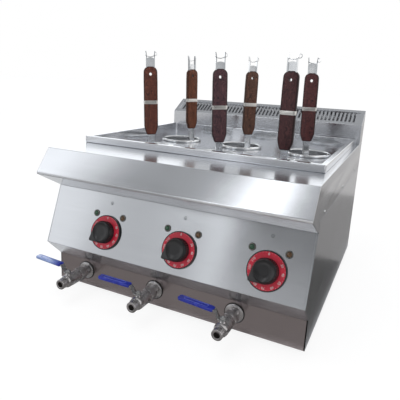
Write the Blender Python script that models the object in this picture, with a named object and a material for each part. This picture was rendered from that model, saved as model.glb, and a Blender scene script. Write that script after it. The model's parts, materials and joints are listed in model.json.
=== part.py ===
"""Counter-top electric pasta cooker: three wells, six lift-out baskets, three controls, three drains.

Metres, +Z up, front towards -Y. The origin is the middle of the base pan's underside.
"""
import math

import bmesh
import bpy
from mathutils import Matrix, Vector

# Whole machine
body_width = 0.600
body_depth = 0.700
sheet = 0.002
gap = 0.0003
overrun = 0.010
round_sides = 24
small_sides = 16
corner_steps = 3
corner_limit_share = 0.9

# Front, from the worktop's edge down: nose, lip, underside, control panel, return and apron
nose_reach = 0.038
nose_drop = 0.050
nose_lip = 0.005
underside_drop = 0.039
panel_setback = 0.036
panel_drop = 0.128
panel_reach = 0.012
return_drop = 0.044
apron_setback = 0.034
apron_height = 0.064
skirt_drop = 0.072

# Raised rim round the wells, and the perforated deck in it
rim_side_inset = 0.012
rim_setback = 0.114
rim_rear_clearance = 0.012
rim_height = 0.016
rim_width = 0.012
rim_wall = 0.002
rim_corner = 0.004
ledge_width = 0.007
deck_drop = 0.020

# Wells
well_names = ("left", "middle", "right")
tank_depth = 0.185
tank_flange = 0.009
tank_flange_corner = 0.003
tank_corner = 0.018
outlet_radius = 0.008
outlet_shift = -0.032
outlet_setback = 0.060

# Immersion heaters
heater_radius = 0.0045
heater_half_width = 0.045
heater_rise = 0.020
heater_rear_clearance = 0.030
heater_terminal_length = 0.018

# Baskets
column_spread = 0.0042
row_pitch = 0.184
basket_radius = 0.052
basket_wall = 0.002
basket_heater_clearance = 0.0228
basket_hole_clearance = 0.002
basket_lip_overhang = 0.008
basket_lip_height = 0.006
basket_names = (
    "front_left", "front_middle", "front_right",
    "rear_left", "rear_middle", "rear_right",
)
handle_turn_deg = (35.0, 32.0, -4.0, 58.0, 38.0, 6.0)
handle_lean_deg = (-2.6, -2.6, 0.0, -2.2, 0.0, -1.2)

# Handle strap with its forked hook, and the wooden grip on it
strap_offset = 0.003
strap_width = 0.016
strap_thickness = 0.0025
fork_width = 0.024
fork_neck_rise = 0.005
fork_web_rise = 0.014
fork_ear_rise = 0.036
fork_ear_thickness = 0.0025
fork_ear_depth = 0.010
grip_base_rise = 0.041
grip_length = 0.168
grip_width = 0.035
grip_thickness = 0.012
grip_shoulder = 0.014
grip_toe_length = 0.016
grip_toe_wall = 0.0017
band_rise = 0.076
band_height = 0.009
band_swell = 0.0006

# Riser at the back with its slotted grille, over a slot in the worktop
riser_depth = 0.062
riser_front_height = 0.054
riser_rear_height = 0.092
flue_slot_side_margin = 0.040
flue_slot_margin = 0.012
grille_side_margin = 0.012
grille_slope_margin = 0.012
grille_overlap = 0.004
slot_width = 0.0055
slot_pitch = 0.0112
slot_end_margin = 0.002

# Knobs, thermostats and lamps on the sloping panel
knob_spread = -0.0018
knob_shift = 0.039
knob_slope_distance = 0.085
dial_radius = 0.038
dial_thickness = 0.004
cap_radius = 0.025
cap_height = 0.018
knob_chamfer = 0.002
knob_lift = 0.001
pointer_length = 0.036
pointer_width = 0.012
pointer_turn_deg = 219.0
shaft_radius = 0.003
shaft_reach = 0.014
bush_wall = 0.002
thermostat_width = 0.040
thermostat_depth = 0.030
lamp_turn_deg = 42.6
lamp_dial_clearance = 0.0062
lamp_radius = 0.0055
lamp_bezel_width = 0.002
lamp_bezel_height = 0.002
lamp_dome_height = 0.0015
lamp_body_depth = 0.018

# Drain pipes, valves and levers
pipe_bore = 0.008
pipe_wall = 0.002
pipe_bend_radius = 0.024
pipe_bend_steps = 6
pipe_flange_width = 0.005
socket_depth = 0.012
socket_wall = 0.0017
flange_radius = 0.0215
flange_top_clearance = 0.0055
flange_thickness = 0.003
hex_start = 0.016
hex_length = 0.018
hex_swell = 0.0045
ball_start = 0.030
ball_length = 0.046
ball_swell = 0.0025
ball_chamfer = 0.002
spout_bore = 0.0075
spout_wall = 0.004
spout_reach = 0.017
spout_bore_depth = 0.018
stem_setback = 0.010
stem_radius = 0.003
stem_depth = 0.006
stem_tip = 0.002
stem_boss_wall = 0.0037
stem_boss_rise = 0.0025
lever_turn_deg = (-5.0, 0.0, -6.0)
lever_width = 0.012
lever_thickness = 0.002
lever_heel = 0.007
lever_flat = 0.008
lever_rise = 0.0147
lever_slope = 0.010
lever_length = 0.0955
nut_radius = 0.006
nut_height = 0.005
sleeve_wall = 0.0022
sleeve_cap = 0.004
sleeve_end_clearance = 0.001
sleeve_corner = 0.0055

# Base, feet, back vents, electrics and the cable's way in
tray_height = 0.012
pad_half_width = 0.160
pad_half_depth = 0.150
pad_drop = 0.001
foot_height = 0.015
foot_radius = 0.018
foot_taper = 0.003
foot_front_inset = 0.042
foot_side_inset = 0.040
vent_slot_width = 0.006
vent_slot_height = 0.060
vent_pitch = 0.016
vent_side_margin = 0.150
vent_bottom_margin = 0.110
terminal_width = 0.090
terminal_depth = 0.030
terminal_height = 0.028
terminal_step = 0.010
gland_bore = 0.005
gland_wall = 0.003
gland_nut_swell = 0.006
gland_nut_length = 0.008
gland_dome_swell = 0.002
gland_outer_length = 0.018
gland_height = 0.050
gland_side_inset = 0.100

# Levels and edges of the cabinet, worked out from the sizes above
return_height = apron_height + return_drop
panel_height = return_height + panel_drop
worktop_height = panel_height + underside_drop + nose_lip + nose_drop
side_x = body_width / 2
inner_x = side_x - sheet - gap
rear_y = body_depth / 2
front_edge_y = nose_reach - rear_y
underside_y = front_edge_y + panel_setback
panel_foot_y = front_edge_y - panel_reach
apron_y = front_edge_y + apron_setback
riser_front_y = rear_y - riser_depth
seam_height = worktop_height - skirt_drop
gland_shift = side_x - gland_side_inset

# Levels and edges of the wells and baskets
rim_x = side_x - rim_side_inset
rim_front_y = front_edge_y + rim_setback
rim_rear_y = riser_front_y - rim_rear_clearance
rim_top = worktop_height + rim_height
well_x = rim_x - rim_width - gap
well_front_y = rim_front_y + rim_width + gap
well_rear_y = rim_rear_y - rim_width - gap
well_middle_y = (well_front_y + well_rear_y) / 2
tank_pitch = 2 * well_x / len(well_names)
column_pitch = tank_pitch + column_spread
knob_pitch = tank_pitch + knob_spread
deck_top = worktop_height - deck_drop
deck_bottom = deck_top - sheet
flange_top = deck_bottom - gap
flange_bottom = flange_top - sheet
ledge_top = flange_bottom - gap
ledge_bottom = ledge_top - sheet
tank_bottom = flange_bottom - tank_depth
tank_floor = tank_bottom + sheet
tank_front_y = well_front_y + tank_flange
heater_height = tank_floor + heater_rise
basket_bottom = heater_height + heater_radius + basket_heater_clearance
lip_bottom = deck_top + gap
lip_radius = basket_radius + basket_lip_overhang
strap_radius = basket_radius + strap_offset
grip_top_rise = grip_base_rise + grip_length

# Places of the controls and drains
bush_radius = shaft_radius + bush_wall
lamp_bezel_radius = lamp_radius + lamp_bezel_width
lamp_distance = dial_radius + lamp_dial_clearance + lamp_bezel_radius
outlet_y = well_front_y + outlet_setback
pipe_radius = pipe_bore + pipe_wall
valve_height = apron_height - flange_top_clearance - flange_radius
neck_radius = pipe_radius + gap + socket_wall
ball_radius = neck_radius + ball_swell
ball_end = ball_start + ball_length
spout_end = ball_end + spout_reach
stem_y = apron_y - ball_end + stem_setback
stem_boss_top = ball_radius + stem_boss_rise
lever_seat = stem_boss_top + gap
lever_bend_length = lever_flat + lever_slope

steel = ("brushed_steel", (0.62, 0.63, 0.65), 0.28, 1.0)
dark_steel = ("heater_steel", (0.30, 0.29, 0.28), 0.45, 1.0)
valve_steel = ("valve_steel", (0.48, 0.47, 0.45), 0.35, 1.0)
grip_wood = ("grip_wood", (0.16, 0.045, 0.03), 0.45, 0.0)
knob_black = ("knob_black", (0.02, 0.02, 0.022), 0.35, 0.0)
lever_blue = ("lever_blue", (0.02, 0.05, 0.45), 0.35, 0.0)
lamp_green = ("lamp_green", (0.03, 0.30, 0.12), 0.20, 0.0)
lamp_amber = ("lamp_amber", (0.75, 0.30, 0.03), 0.20, 0.0)
foot_rubber = ("foot_rubber", (0.03, 0.03, 0.03), 0.80, 0.0)
plain_plastic = ("control_plastic", (0.75, 0.74, 0.70), 0.50, 0.0)
gland_plastic = ("gland_plastic", (0.05, 0.05, 0.05), 0.50, 0.0)


def clear_scene():
    """Remove every object that the file holds."""
    for item in list(bpy.data.objects):
        bpy.data.objects.remove(item, do_unlink=True)


def finish(look):
    """Return the material of this name, made once."""
    name, colour, roughness, metallic = look
    made = bpy.data.materials.get(name)
    if made:
        return made
    made = bpy.data.materials.new(name)
    made.use_nodes = True
    shader = made.node_tree.nodes["Principled BSDF"]
    shader.inputs["Base Color"].default_value = (*colour, 1.0)
    shader.inputs["Roughness"].default_value = roughness
    shader.inputs["Metallic"].default_value = metallic
    return made


def add_object(name, points, faces, look=None, smooth=False):
    """Make one closed mesh object with its faces pointing out."""
    mesh = bpy.data.meshes.new(name)
    mesh.from_pydata([tuple(point) for point in points], [], faces)
    shape = bmesh.new()
    shape.from_mesh(mesh)
    bmesh.ops.recalc_face_normals(shape, faces=shape.faces)
    shape.to_mesh(mesh)
    shape.free()
    if smooth:
        mesh.shade_smooth()
        mesh.set_sharp_from_angle(angle=math.radians(35.0))
    made = bpy.data.objects.new(name, mesh)
    bpy.context.scene.collection.objects.link(made)
    if look:
        mesh.materials.append(finish(look))
    return made


def combine(target, tool, operation):
    """Add or cut one closed shape with another, which stays as a hidden helper."""
    tool.hide_render = True
    tool.display_type = "WIRE"
    change = target.modifiers.new(tool.name, "BOOLEAN")
    change.object = tool
    change.operation = operation
    change.solver = "EXACT"
    return target


def anchor(made, frame):
    """Move an object's origin to a frame and leave its shape where it is."""
    made.data.transform(frame.inverted())
    made.matrix_world = frame
    return made


def frame_from(right, up, out, place):
    """Frame with these three directions as its local X, Y and Z."""
    columns = (right, up, out, place)
    rows = [[column[row] for column in columns] for row in range(3)]
    return Matrix(rows + [[0.0, 0.0, 0.0, 1.0]])


def at(x, y, z):
    """Frame at a place, along the world's axes."""
    return Matrix.Translation((x, y, z))


def prism(name, outline, start, end, axes="xyz", frame=None, look=None):
    """Extrude a flat outline. The axes name where its two values and the distance go."""
    frame = frame or Matrix()
    order = [axes.index(axis) for axis in "xyz"]
    points = []
    for distance in (start, end):
        for first, second in outline:
            values = (first, second, distance)
            points.append(frame @ Vector([values[place] for place in order]))
    count = len(outline)
    faces = [tuple(range(count)), tuple(range(count, 2 * count))]
    for index in range(count):
        after = (index + 1) % count
        faces.append((index, after, count + after, count + index))
    return add_object(name, points, faces, look)


def rectangle(half_a, low_b, high_b):
    """Outline of a rectangle with its sides at plus and minus the first value."""
    return [(-half_a, low_b), (half_a, low_b), (half_a, high_b), (-half_a, high_b)]


def circle(radius, sides, centre=(0.0, 0.0), turn=0.0):
    """Points round a circle."""
    steps = [turn + math.tau * index / sides for index in range(sides)]
    return [(centre[0] + radius * math.cos(a), centre[1] + radius * math.sin(a)) for a in steps]


def arc(centre, radius, start_deg, end_deg):
    """Points along an arc, its ends included."""
    points = []
    for step in range(corner_steps + 1):
        angle = math.radians(start_deg + (end_deg - start_deg) * step / corner_steps)
        points.append((centre[0] + radius * math.cos(angle), centre[1] + radius * math.sin(angle)))
    return points


def rounded_rectangle(half_a, low_b, high_b, radius):
    """Outline of a rectangle with rounded corners."""
    radius = min(radius, corner_limit_share * half_a, corner_limit_share * (high_b - low_b) / 2)
    side = half_a - radius
    points = arc((side, high_b - radius), radius, 0.0, 90.0)
    points += arc((-side, high_b - radius), radius, 90.0, 180.0)
    points += arc((-side, low_b + radius), radius, 180.0, 270.0)
    points += arc((side, low_b + radius), radius, 270.0, 360.0)
    return points


def offset_path(points, distance):
    """Move an open path sideways to its left, with mitred corners."""
    moved = []
    for index, point in enumerate(points):
        before = Vector(points[max(index - 1, 0)])
        here = Vector(point)
        after = Vector(points[min(index + 1, len(points) - 1)])
        into = (here - before) if index else (after - here)
        away = (after - here) if index + 1 < len(points) else into
        into.normalize()
        away.normalize()
        left_in = Vector((-into.y, into.x))
        left_out = Vector((-away.y, away.x))
        mitre = left_in + left_out
        mitre *= distance / (1.0 + left_in.dot(left_out))
        moved.append(tuple(here + mitre))
    return moved


def bent_strip(points, thickness):
    """Outline of a sheet bent along a path, with its thickness to the left."""
    return list(points) + offset_path(points, thickness)[::-1]


def turned(name, profile, sides, frame, look=None, closed=False):
    """Turn a profile of (radius, height) points round the frame's Z axis."""
    points = []
    rings = []
    for radius, height in profile:
        if radius == 0.0:
            rings.append([len(points)])
            points.append(frame @ Vector((0.0, 0.0, height)))
            continue
        rings.append(list(range(len(points), len(points) + sides)))
        for x, y in circle(radius, sides, turn=math.pi / sides):
            points.append(frame @ Vector((x, y, height)))
    pairs = list(zip(rings, rings[1:]))
    if closed:
        pairs.append((rings[-1], rings[0]))
    faces = []
    for first, second in pairs:
        for index in range(sides):
            after = (index + 1) % sides
            corners = [first[index % len(first)], first[after % len(first)]]
            corners += [second[after % len(second)], second[index % len(second)]]
            face = tuple(dict.fromkeys(corners))
            if len(face) > 2:
                faces.append(face)
    return add_object(name, points, faces, look, smooth=True)


def plug(name, radius, start, end, sides, frame):
    """Plain round cylinder along the frame's Z axis, used to add or to cut."""
    return turned(name, [(0.0, start), (radius, start), (radius, end), (0.0, end)], sides, frame)


def pressed(name, half_x, front_y, back_y, section, look, middle_x=0.0, ring=False):
    """Rectangular pressing. Its section lists (inset, height, corner radius) from outside to inside."""
    loops = []
    points = []
    for inset, height, radius in section:
        outline = rounded_rectangle(half_x - inset, front_y + inset, back_y - inset, radius)
        loops.append(range(len(points), len(points) + len(outline)))
        points += [(middle_x + x, y, height) for x, y in outline]
    pairs = list(zip(loops, loops[1:]))
    faces = []
    if ring:
        pairs.append((loops[-1], loops[0]))
    else:
        faces += [tuple(loops[0]), tuple(loops[-1])]
    count = len(loops[0])
    for first, second in pairs:
        for index in range(count):
            after = (index + 1) % count
            faces.append((first[index], first[after], second[after], second[index]))
    return add_object(name, points, faces, look, smooth=True)


def slotted_plate(name, columns, rows, thickness, frame, look):
    """Flat plate under the frame's XY plane. Odd columns of odd rows are open."""
    points = []
    for height in (0.0, -thickness):
        for y in rows:
            points += [frame @ Vector((x, y, height)) for x in columns]
    across = len(columns)
    layer = across * len(rows)

    def solid(column, row):
        if not (0 <= column < across - 1 and 0 <= row < len(rows) - 1):
            return False
        return row % 2 == 0 or column % 2 == 0

    faces = []
    for row in range(len(rows) - 1):
        for column in range(across - 1):
            if not solid(column, row):
                continue
            a = row * across + column
            b, c, d = a + 1, a + across + 1, a + across
            faces.append((a, b, c, d))
            faces.append((d + layer, c + layer, b + layer, a + layer))
            sides = (((a, b), (0, -1)), ((b, c), (1, 0)), ((c, d), (0, 1)), ((d, a), (-1, 0)))
            for (first, second), (step_x, step_y) in sides:
                if not solid(column + step_x, row + step_y):
                    faces.append((first, second, second + layer, first + layer))
    return add_object(name, points, faces, look)


def slot_columns(plate_half, open_half, width, pitch):
    """Edges of evenly spaced slots across a plate, ends of the plate included."""
    count = int((2 * open_half - width) / pitch)
    first = -(count - 1) * pitch / 2
    edges = [-plate_half]
    for index in range(count):
        middle = first + index * pitch
        edges += [middle - width / 2, middle + width / 2]
    return edges + [plate_half]


def swept_rings(path, radius, sides):
    """Rings of points square to a path."""
    rings = []
    across = None
    for index, point in enumerate(path):
        before = path[max(index - 1, 0)]
        after = path[min(index + 1, len(path) - 1)]
        heading = (after - before).normalized()
        if across is None:
            across = heading.orthogonal()
        across = (across - heading * across.dot(heading)).normalized()
        up = heading.cross(across)
        rings.append([point + across * x + up * y for x, y in circle(radius, sides)])
    return rings


def swept(name, rings, closed, look):
    """Skin a row of rings: closed joins the last to the first, and a bar gets two caps."""
    sides = len(rings[0])
    points = [point for ring in rings for point in ring]
    faces = []
    if not closed:
        faces += [tuple(range(sides)), tuple(range(len(points) - sides, len(points)))]
    for level in range(len(rings) - 1 + closed):
        near = level * sides
        far = (level + 1) % len(rings) * sides
        for index in range(sides):
            after = (index + 1) % sides
            faces.append((near + index, near + after, far + after, far + index))
    return add_object(name, points, faces, look, smooth=True)


def worktop_path():
    """Front path of the worktop: rear skirt, top, sloping nose, lip and underside."""
    nose_y = front_edge_y - nose_reach
    return [
        (rear_y, seam_height),
        (rear_y, worktop_height),
        (front_edge_y, worktop_height),
        (nose_y, worktop_height - nose_drop),
        (nose_y, worktop_height - nose_drop - nose_lip),
        (underside_y, panel_height),
    ]


def worktop():
    """Pressed worktop with its nose, side cheeks, well opening and flue slot."""
    path = worktop_path()
    outline = path + [(underside_y, seam_height)]
    made = prism("worktop", outline, -side_x, side_x, "yzx", look=steel)
    run = (Vector(path[-1]) - Vector(path[-2])).normalized()
    path[0] = (rear_y, seam_height - overrun)
    path[-1] = tuple(Vector(path[-1]) + run * overrun)
    hollow = offset_path(path, sheet)
    hollow_x = side_x - sheet
    combine(made, prism("worktop_hollow", hollow, -hollow_x, hollow_x, "yzx"), "DIFFERENCE")
    inset = rim_width - rim_wall - gap
    low = worktop_height - overrun
    high = worktop_height + overrun
    opening = rectangle(rim_x - inset, rim_front_y + inset, rim_rear_y - inset)
    combine(made, prism("well_opening", opening, low, high), "DIFFERENCE")
    slot_x = side_x - flue_slot_side_margin
    slot = rectangle(slot_x, riser_front_y + flue_slot_margin, rear_y - flue_slot_margin)
    return combine(made, prism("flue_slot", slot, low, high), "DIFFERENCE")


def side_outline():
    """Outline of a side panel, following the control panel and apron in front."""
    return [
        (rear_y, 0.0),
        (rear_y, seam_height - gap),
        (underside_y + gap, seam_height - gap),
        (underside_y + gap, panel_height - gap),
        (panel_foot_y, return_height),
        (apron_y, apron_height),
        (apron_y, 0.0),
    ]


def side_panels():
    """The two flat side panels under the worktop's skirt."""
    prism("left_side_panel", side_outline(), -side_x, sheet - side_x, "yzx", look=steel)
    prism("right_side_panel", side_outline(), side_x - sheet, side_x, "yzx", look=steel)


def panel_frame(x, distance):
    """Frame on the control panel's face: X across, Y up the slope, Z out of the panel."""
    top = Vector((underside_y, panel_height - gap))
    foot = Vector((panel_foot_y, return_height))
    down = (foot - top).normalized()
    place = top + down * distance
    return frame_from((1.0, 0.0, 0.0), (0.0, -down.x, -down.y), (0.0, down.y, -down.x), (x, place.x, place.y))


def knob_frame(index):
    """Frame of one knob on the panel."""
    return panel_frame(knob_shift + knob_pitch * (index - 1), knob_slope_distance)


def lamp_frame(index, side):
    """Frame of the lamp up and to one side of a knob."""
    angle = math.radians(lamp_turn_deg)
    return knob_frame(index) @ at(side * lamp_distance * math.sin(angle), lamp_distance * math.cos(angle), 0.0)


def control_panel():
    """Sloping panel with its return, bored for the shafts and lamps."""
    path = [(underside_y, panel_height - gap), (panel_foot_y, return_height), (apron_y, apron_height)]
    made = prism("control_panel", bent_strip(path, sheet), -inner_x, inner_x, "yzx", look=steel)
    for index, name in enumerate(well_names):
        tool = plug("shaft_hole_" + name, bush_radius + gap, -overrun, overrun, small_sides, knob_frame(index))
        combine(made, tool, "DIFFERENCE")
        for kind, side in (("power", -1), ("heat", 1)):
            title = f"lamp_hole_{kind}_{name}"
            frame = lamp_frame(index, side)
            combine(made, plug(title, lamp_radius + gap, -overrun, overrun, small_sides, frame), "DIFFERENCE")
    return made


def valve_x(index):
    """Middle of one drain valve across the apron."""
    return column_pitch * (index - 1) + outlet_shift


def valve_frame(index):
    """Frame of one valve: Z runs forward from the apron's face, Y is up."""
    return frame_from((1.0, 0.0, 0.0), (0.0, 0.0, 1.0), (0.0, -1.0, 0.0), (valve_x(index), apron_y, valve_height))


def front_apron():
    """Recessed strip under the control panel, bored for the drain pipes."""
    outline = rectangle(inner_x, 0.0, apron_height - gap)
    made = prism("front_apron", outline, apron_y, apron_y + sheet, "xzy", look=steel)
    for index, name in enumerate(well_names):
        tool = plug("pipe_hole_" + name, pipe_radius + gap, -overrun, overrun, round_sides, valve_frame(index))
        combine(made, tool, "DIFFERENCE")
    return made


def base_pan():
    """Shallow tray that closes the bottom and carries the feet, with a pad pressed down in its middle."""
    corner = sheet + gap
    section = [(0.0, 0.0, corner), (0.0, tray_height, corner), (sheet, tray_height, gap), (sheet, sheet, gap)]
    made = pressed("base_pan", inner_x, apron_y + corner, rear_y - corner, section, steel)
    pad = rectangle(pad_half_width, -pad_half_depth, pad_half_depth)
    return combine(made, prism("base_pad", pad, -pad_drop, sheet / 2), "UNION")


def gland_frame():
    """Frame of the cable gland: Z points out of the back."""
    return frame_from((-1.0, 0.0, 0.0), (0.0, 0.0, 1.0), (0.0, 1.0, 0.0), (gland_shift, rear_y, gland_height))


def back_panel():
    """Flat back with a row of vent slots and the cable gland's hole."""
    columns = slot_columns(inner_x, inner_x - vent_side_margin, vent_slot_width, vent_pitch)
    rows = [0.0, vent_bottom_margin, vent_bottom_margin + vent_slot_height, seam_height - gap]
    frame = frame_from((-1.0, 0.0, 0.0), (0.0, 0.0, 1.0), (0.0, 1.0, 0.0), (0.0, rear_y, 0.0))
    made = slotted_plate("back_panel", columns, rows, sheet, frame, steel)
    wide = gland_bore + gland_wall + gap
    return combine(made, plug("gland_hole", wide, -overrun, overrun, small_sides, gland_frame()), "DIFFERENCE")


def cable_gland():
    """Gland with its nut inside the back panel, where the supply cable goes in."""
    inside = -sheet - gap
    body = gland_bore + gland_wall
    nut = body + gland_nut_swell
    profile = [
        (gland_bore, inside - gland_nut_length),
        (nut, inside - gland_nut_length),
        (nut, inside),
        (body, inside),
        (body, gap),
        (nut, gap),
        (nut, gland_nut_length),
        (body + gland_dome_swell, gland_outer_length),
        (gland_bore, gland_outer_length),
    ]
    return turned("cable_gland", profile, small_sides, gland_frame(), gland_plastic, closed=True)


def terminal_block():
    """Stepped terminal block standing on the base pan by the gland."""
    floor = sheet + gap
    top = floor + terminal_height
    back = rear_y - sheet - gap - gland_nut_length - terminal_step
    outline = [
        (back, floor),
        (back, top),
        (back - terminal_step, top),
        (back - terminal_step, top - terminal_step),
        (back - terminal_depth, top - terminal_step),
        (back - terminal_depth, floor),
    ]
    start = gland_shift - terminal_width / 2
    return prism("terminal_block", outline, start, start + terminal_width, "yzx", look=plain_plastic)


def basin_rim():
    """Raised frame round the wells, with the inner ledge that carries wells and deck."""
    low = worktop_height + gap
    wall_inset = rim_width - rim_wall
    ledge_inset = rim_width + ledge_width
    levels = [
        (0.0, low),
        (0.0, rim_top),
        (rim_width, rim_top),
        (rim_width, ledge_top),
        (ledge_inset, ledge_top),
        (ledge_inset, ledge_bottom),
        (wall_inset, ledge_bottom),
        (wall_inset, low),
    ]
    section = [(inset, height, rim_corner) for inset, height in levels]
    return pressed("basin_rim", rim_x, rim_front_y, rim_rear_y, section, steel, ring=True)


def basket_place(index):
    """Middle of one basket in plan."""
    column = index % len(well_names) - 1
    row = index // len(well_names) - 0.5
    return column_pitch * column, well_middle_y + row_pitch * row


def basket_frame(index):
    """Frame on one basket's centre line at its seat on the deck."""
    x, y = basket_place(index)
    return at(x, y, lip_bottom)


def basket_deck():
    """Perforated deck that the baskets hang in."""
    section = [(0.0, deck_bottom, rim_corner), (0.0, deck_top, rim_corner)]
    made = pressed("basket_deck", well_x, well_front_y, well_rear_y, section, steel)
    wide = basket_radius + basket_hole_clearance
    for index, name in enumerate(basket_names):
        tool = plug("deck_hole_" + name, wide, -overrun, overrun, round_sides, basket_frame(index))
        combine(made, tool, "DIFFERENCE")
    return made


def tanks():
    """Deep-drawn wells hung by their flanges, with drain and heater holes."""
    half = tank_pitch / 2 - gap / 2
    inner = tank_flange + sheet
    section = [
        (tank_flange, tank_bottom, tank_corner),
        (tank_flange, flange_bottom, tank_corner),
        (0.0, flange_bottom, tank_flange_corner),
        (0.0, flange_top, tank_flange_corner),
        (inner, flange_top, tank_corner - sheet),
        (inner, tank_floor, tank_corner - sheet),
    ]
    for index, name in enumerate(well_names):
        middle = tank_pitch * (index - 1)
        made = pressed("tank_" + name, half, well_front_y, well_rear_y, section, steel, middle)
        frame = at(valve_x(index), outlet_y, tank_floor)
        combine(made, plug("outlet_" + name, outlet_radius, -overrun, overrun, small_sides, frame), "DIFFERENCE")
        for side in (-1, 1):
            hole = circle(heater_radius + gap, small_sides, (middle + side * heater_half_width, heater_height))
            title = f"heater_hole_{name}_{side}"
            tool = prism(title, hole, tank_front_y - overrun, tank_front_y + sheet + overrun, "xzy")
            combine(made, tool, "DIFFERENCE")


def heater_path(middle_x):
    """Centre line of a hairpin heater: in through the front wall, round at the back and out again."""
    front = tank_front_y - heater_terminal_length
    back = well_rear_y - tank_flange - sheet - heater_rear_clearance - heater_half_width
    path = [Vector((middle_x - heater_half_width, front, heater_height))]
    steps = 2 * pipe_bend_steps
    for step in range(steps + 1):
        angle = math.pi * (1.0 - step / steps)
        x = middle_x + heater_half_width * math.cos(angle)
        path.append(Vector((x, back + heater_half_width * math.sin(angle), heater_height)))
    path.append(Vector((middle_x + heater_half_width, front, heater_height)))
    return path


def heaters():
    """Immersion heaters low in each well."""
    for index, name in enumerate(well_names):
        rings = swept_rings(heater_path(tank_pitch * (index - 1)), heater_radius, small_sides)
        swept("heater_" + name, rings, False, dark_steel)


def drain_path(index):
    """Centre line of a drain pipe: down from the well, round a bend and forward into the valve."""
    x = valve_x(index)
    path = [Vector((x, outlet_y, tank_bottom - gap))]
    for step in range(pipe_bend_steps + 1):
        angle = math.pi / 2 * step / pipe_bend_steps
        y = outlet_y - pipe_bend_radius + pipe_bend_radius * math.cos(angle)
        z = valve_height + pipe_bend_radius - pipe_bend_radius * math.sin(angle)
        path.append(Vector((x, y, z)))
    path.append(Vector((x, apron_y - flange_thickness - socket_depth + gap, valve_height)))
    return path


def drain_pipes():
    """Drain pipes from the wells through the apron, each with a flange under its well."""
    for index, name in enumerate(well_names):
        path = drain_path(index)
        rings = swept_rings(path, pipe_radius, small_sides)
        rings += swept_rings(path, pipe_bore, small_sides)[::-1]
        made = swept("drain_pipe_" + name, rings, True, valve_steel)
        middle = pipe_bore + pipe_wall / 2
        wide = pipe_radius + pipe_flange_width
        profile = [(middle, -sheet - gap), (wide, -sheet - gap), (wide, -gap), (middle, -gap)]
        frame = at(valve_x(index), outlet_y, tank_bottom)
        combine(made, turned("pipe_flange_" + name, profile, small_sides, frame, closed=True), "UNION")


def stem_frame(index):
    """Frame on one valve's stem, at the height of the valve's bore."""
    turn = Matrix.Rotation(math.radians(lever_turn_deg[index]), 4, "Z")
    return at(valve_x(index), stem_y, valve_height) @ turn


def drain_valves():
    """Ball valves: flange, neck, hexagon, body, spout and stem boss, with socket and mouth bored."""
    for index, name in enumerate(well_names):
        frame = valve_frame(index)
        upright = stem_frame(index)
        spout_radius = spout_bore + spout_wall
        profile = [
            (0.0, gap),
            (flange_radius, gap),
            (flange_radius, flange_thickness),
            (neck_radius, flange_thickness),
            (neck_radius, ball_start),
            (ball_radius, ball_start + ball_chamfer),
            (ball_radius, ball_end - ball_chamfer),
            (spout_radius, ball_end),
            (spout_radius, spout_end),
            (0.0, spout_end),
        ]
        made = turned("drain_valve_" + name, profile, round_sides, frame, valve_steel)
        hexagon = circle(neck_radius + hex_swell, 6)
        combine(made, prism("hexagon_" + name, hexagon, hex_start, hex_start + hex_length, frame=frame), "UNION")
        boss_radius = stem_radius + gap + stem_boss_wall
        combine(made, plug("stem_boss_" + name, boss_radius, 0.0, stem_boss_top, small_sides, upright), "UNION")
        cuts = (
            ("socket_", pipe_radius + gap, gap - overrun, flange_thickness + socket_depth, frame),
            ("mouth_", spout_bore, spout_end - spout_bore_depth, spout_end + overrun, frame),
            ("stem_bore_", stem_radius + gap, stem_boss_top - stem_depth - gap, lever_seat + overrun, upright),
        )
        for title, radius, start, end, place in cuts:
            combine(made, plug(title + name, radius, start, end, round_sides, place), "DIFFERENCE")


def lever_path():
    """Path of the lever from its tip, down the crank and over the stem to its heel."""
    return [
        (-lever_length, lever_seat + lever_rise),
        (-lever_bend_length, lever_seat + lever_rise),
        (-lever_flat, lever_seat),
        (lever_heel, lever_seat),
    ]


def valve_levers():
    """Levers with stem and nut, each with its blue sleeve."""
    for index, name in enumerate(well_names):
        frame = stem_frame(index)
        half = lever_width / 2
        outline = bent_strip(lever_path(), lever_thickness)
        made = prism("valve_lever_" + name, outline, -half, half, "xzy", frame, valve_steel)
        nut_top = lever_seat + lever_thickness + nut_height
        stem_bottom = stem_boss_top - stem_depth
        stem = plug("stem_" + name, stem_radius, stem_bottom, nut_top + stem_tip, small_sides, frame)
        combine(made, stem, "UNION")
        nut = circle(nut_radius, 6)
        combine(made, prism("nut_" + name, nut, lever_seat + lever_thickness / 2, nut_top, frame=frame), "UNION")
        anchor(made, frame)
        anchor(lever_sleeve(name, frame), frame)


def lever_sleeve(name, frame):
    """Blue vinyl sleeve over the lever's straight end."""
    tip = -lever_length - gap
    end = -lever_bend_length - sleeve_end_clearance
    middle = lever_seat + lever_rise + lever_thickness / 2
    wide = lever_width / 2 + gap
    deep = lever_thickness / 2 + gap
    thick = deep + sleeve_wall
    outline = rounded_rectangle(wide + sleeve_wall, tip - sleeve_cap, end, sleeve_corner)
    place = frame @ at(0.0, 0.0, middle)
    made = prism("lever_sleeve_" + name, outline, -thick, thick, "yxz", place, lever_blue)
    slot = rectangle(wide, -deep, deep)
    return combine(made, prism("sleeve_slot_" + name, slot, tip, end + overrun, "yzx", place), "DIFFERENCE")


def thermostats():
    """Thermostats behind the panel with bush and shaft through it."""
    half = thermostat_width / 2
    back = -sheet - gap
    for index, name in enumerate(well_names):
        frame = knob_frame(index)
        square = rectangle(half, -half, half)
        title = "thermostat_" + name
        made = prism(title, square, back - thermostat_depth, back, frame=frame, look=plain_plastic)
        profile = [
            (0.0, back - thermostat_depth / 2),
            (bush_radius, back - thermostat_depth / 2),
            (bush_radius, 0.0),
            (shaft_radius, 0.0),
            (shaft_radius, shaft_reach),
            (0.0, shaft_reach),
        ]
        combine(made, turned("shaft_" + name, profile, small_sides, frame), "UNION")


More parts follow.
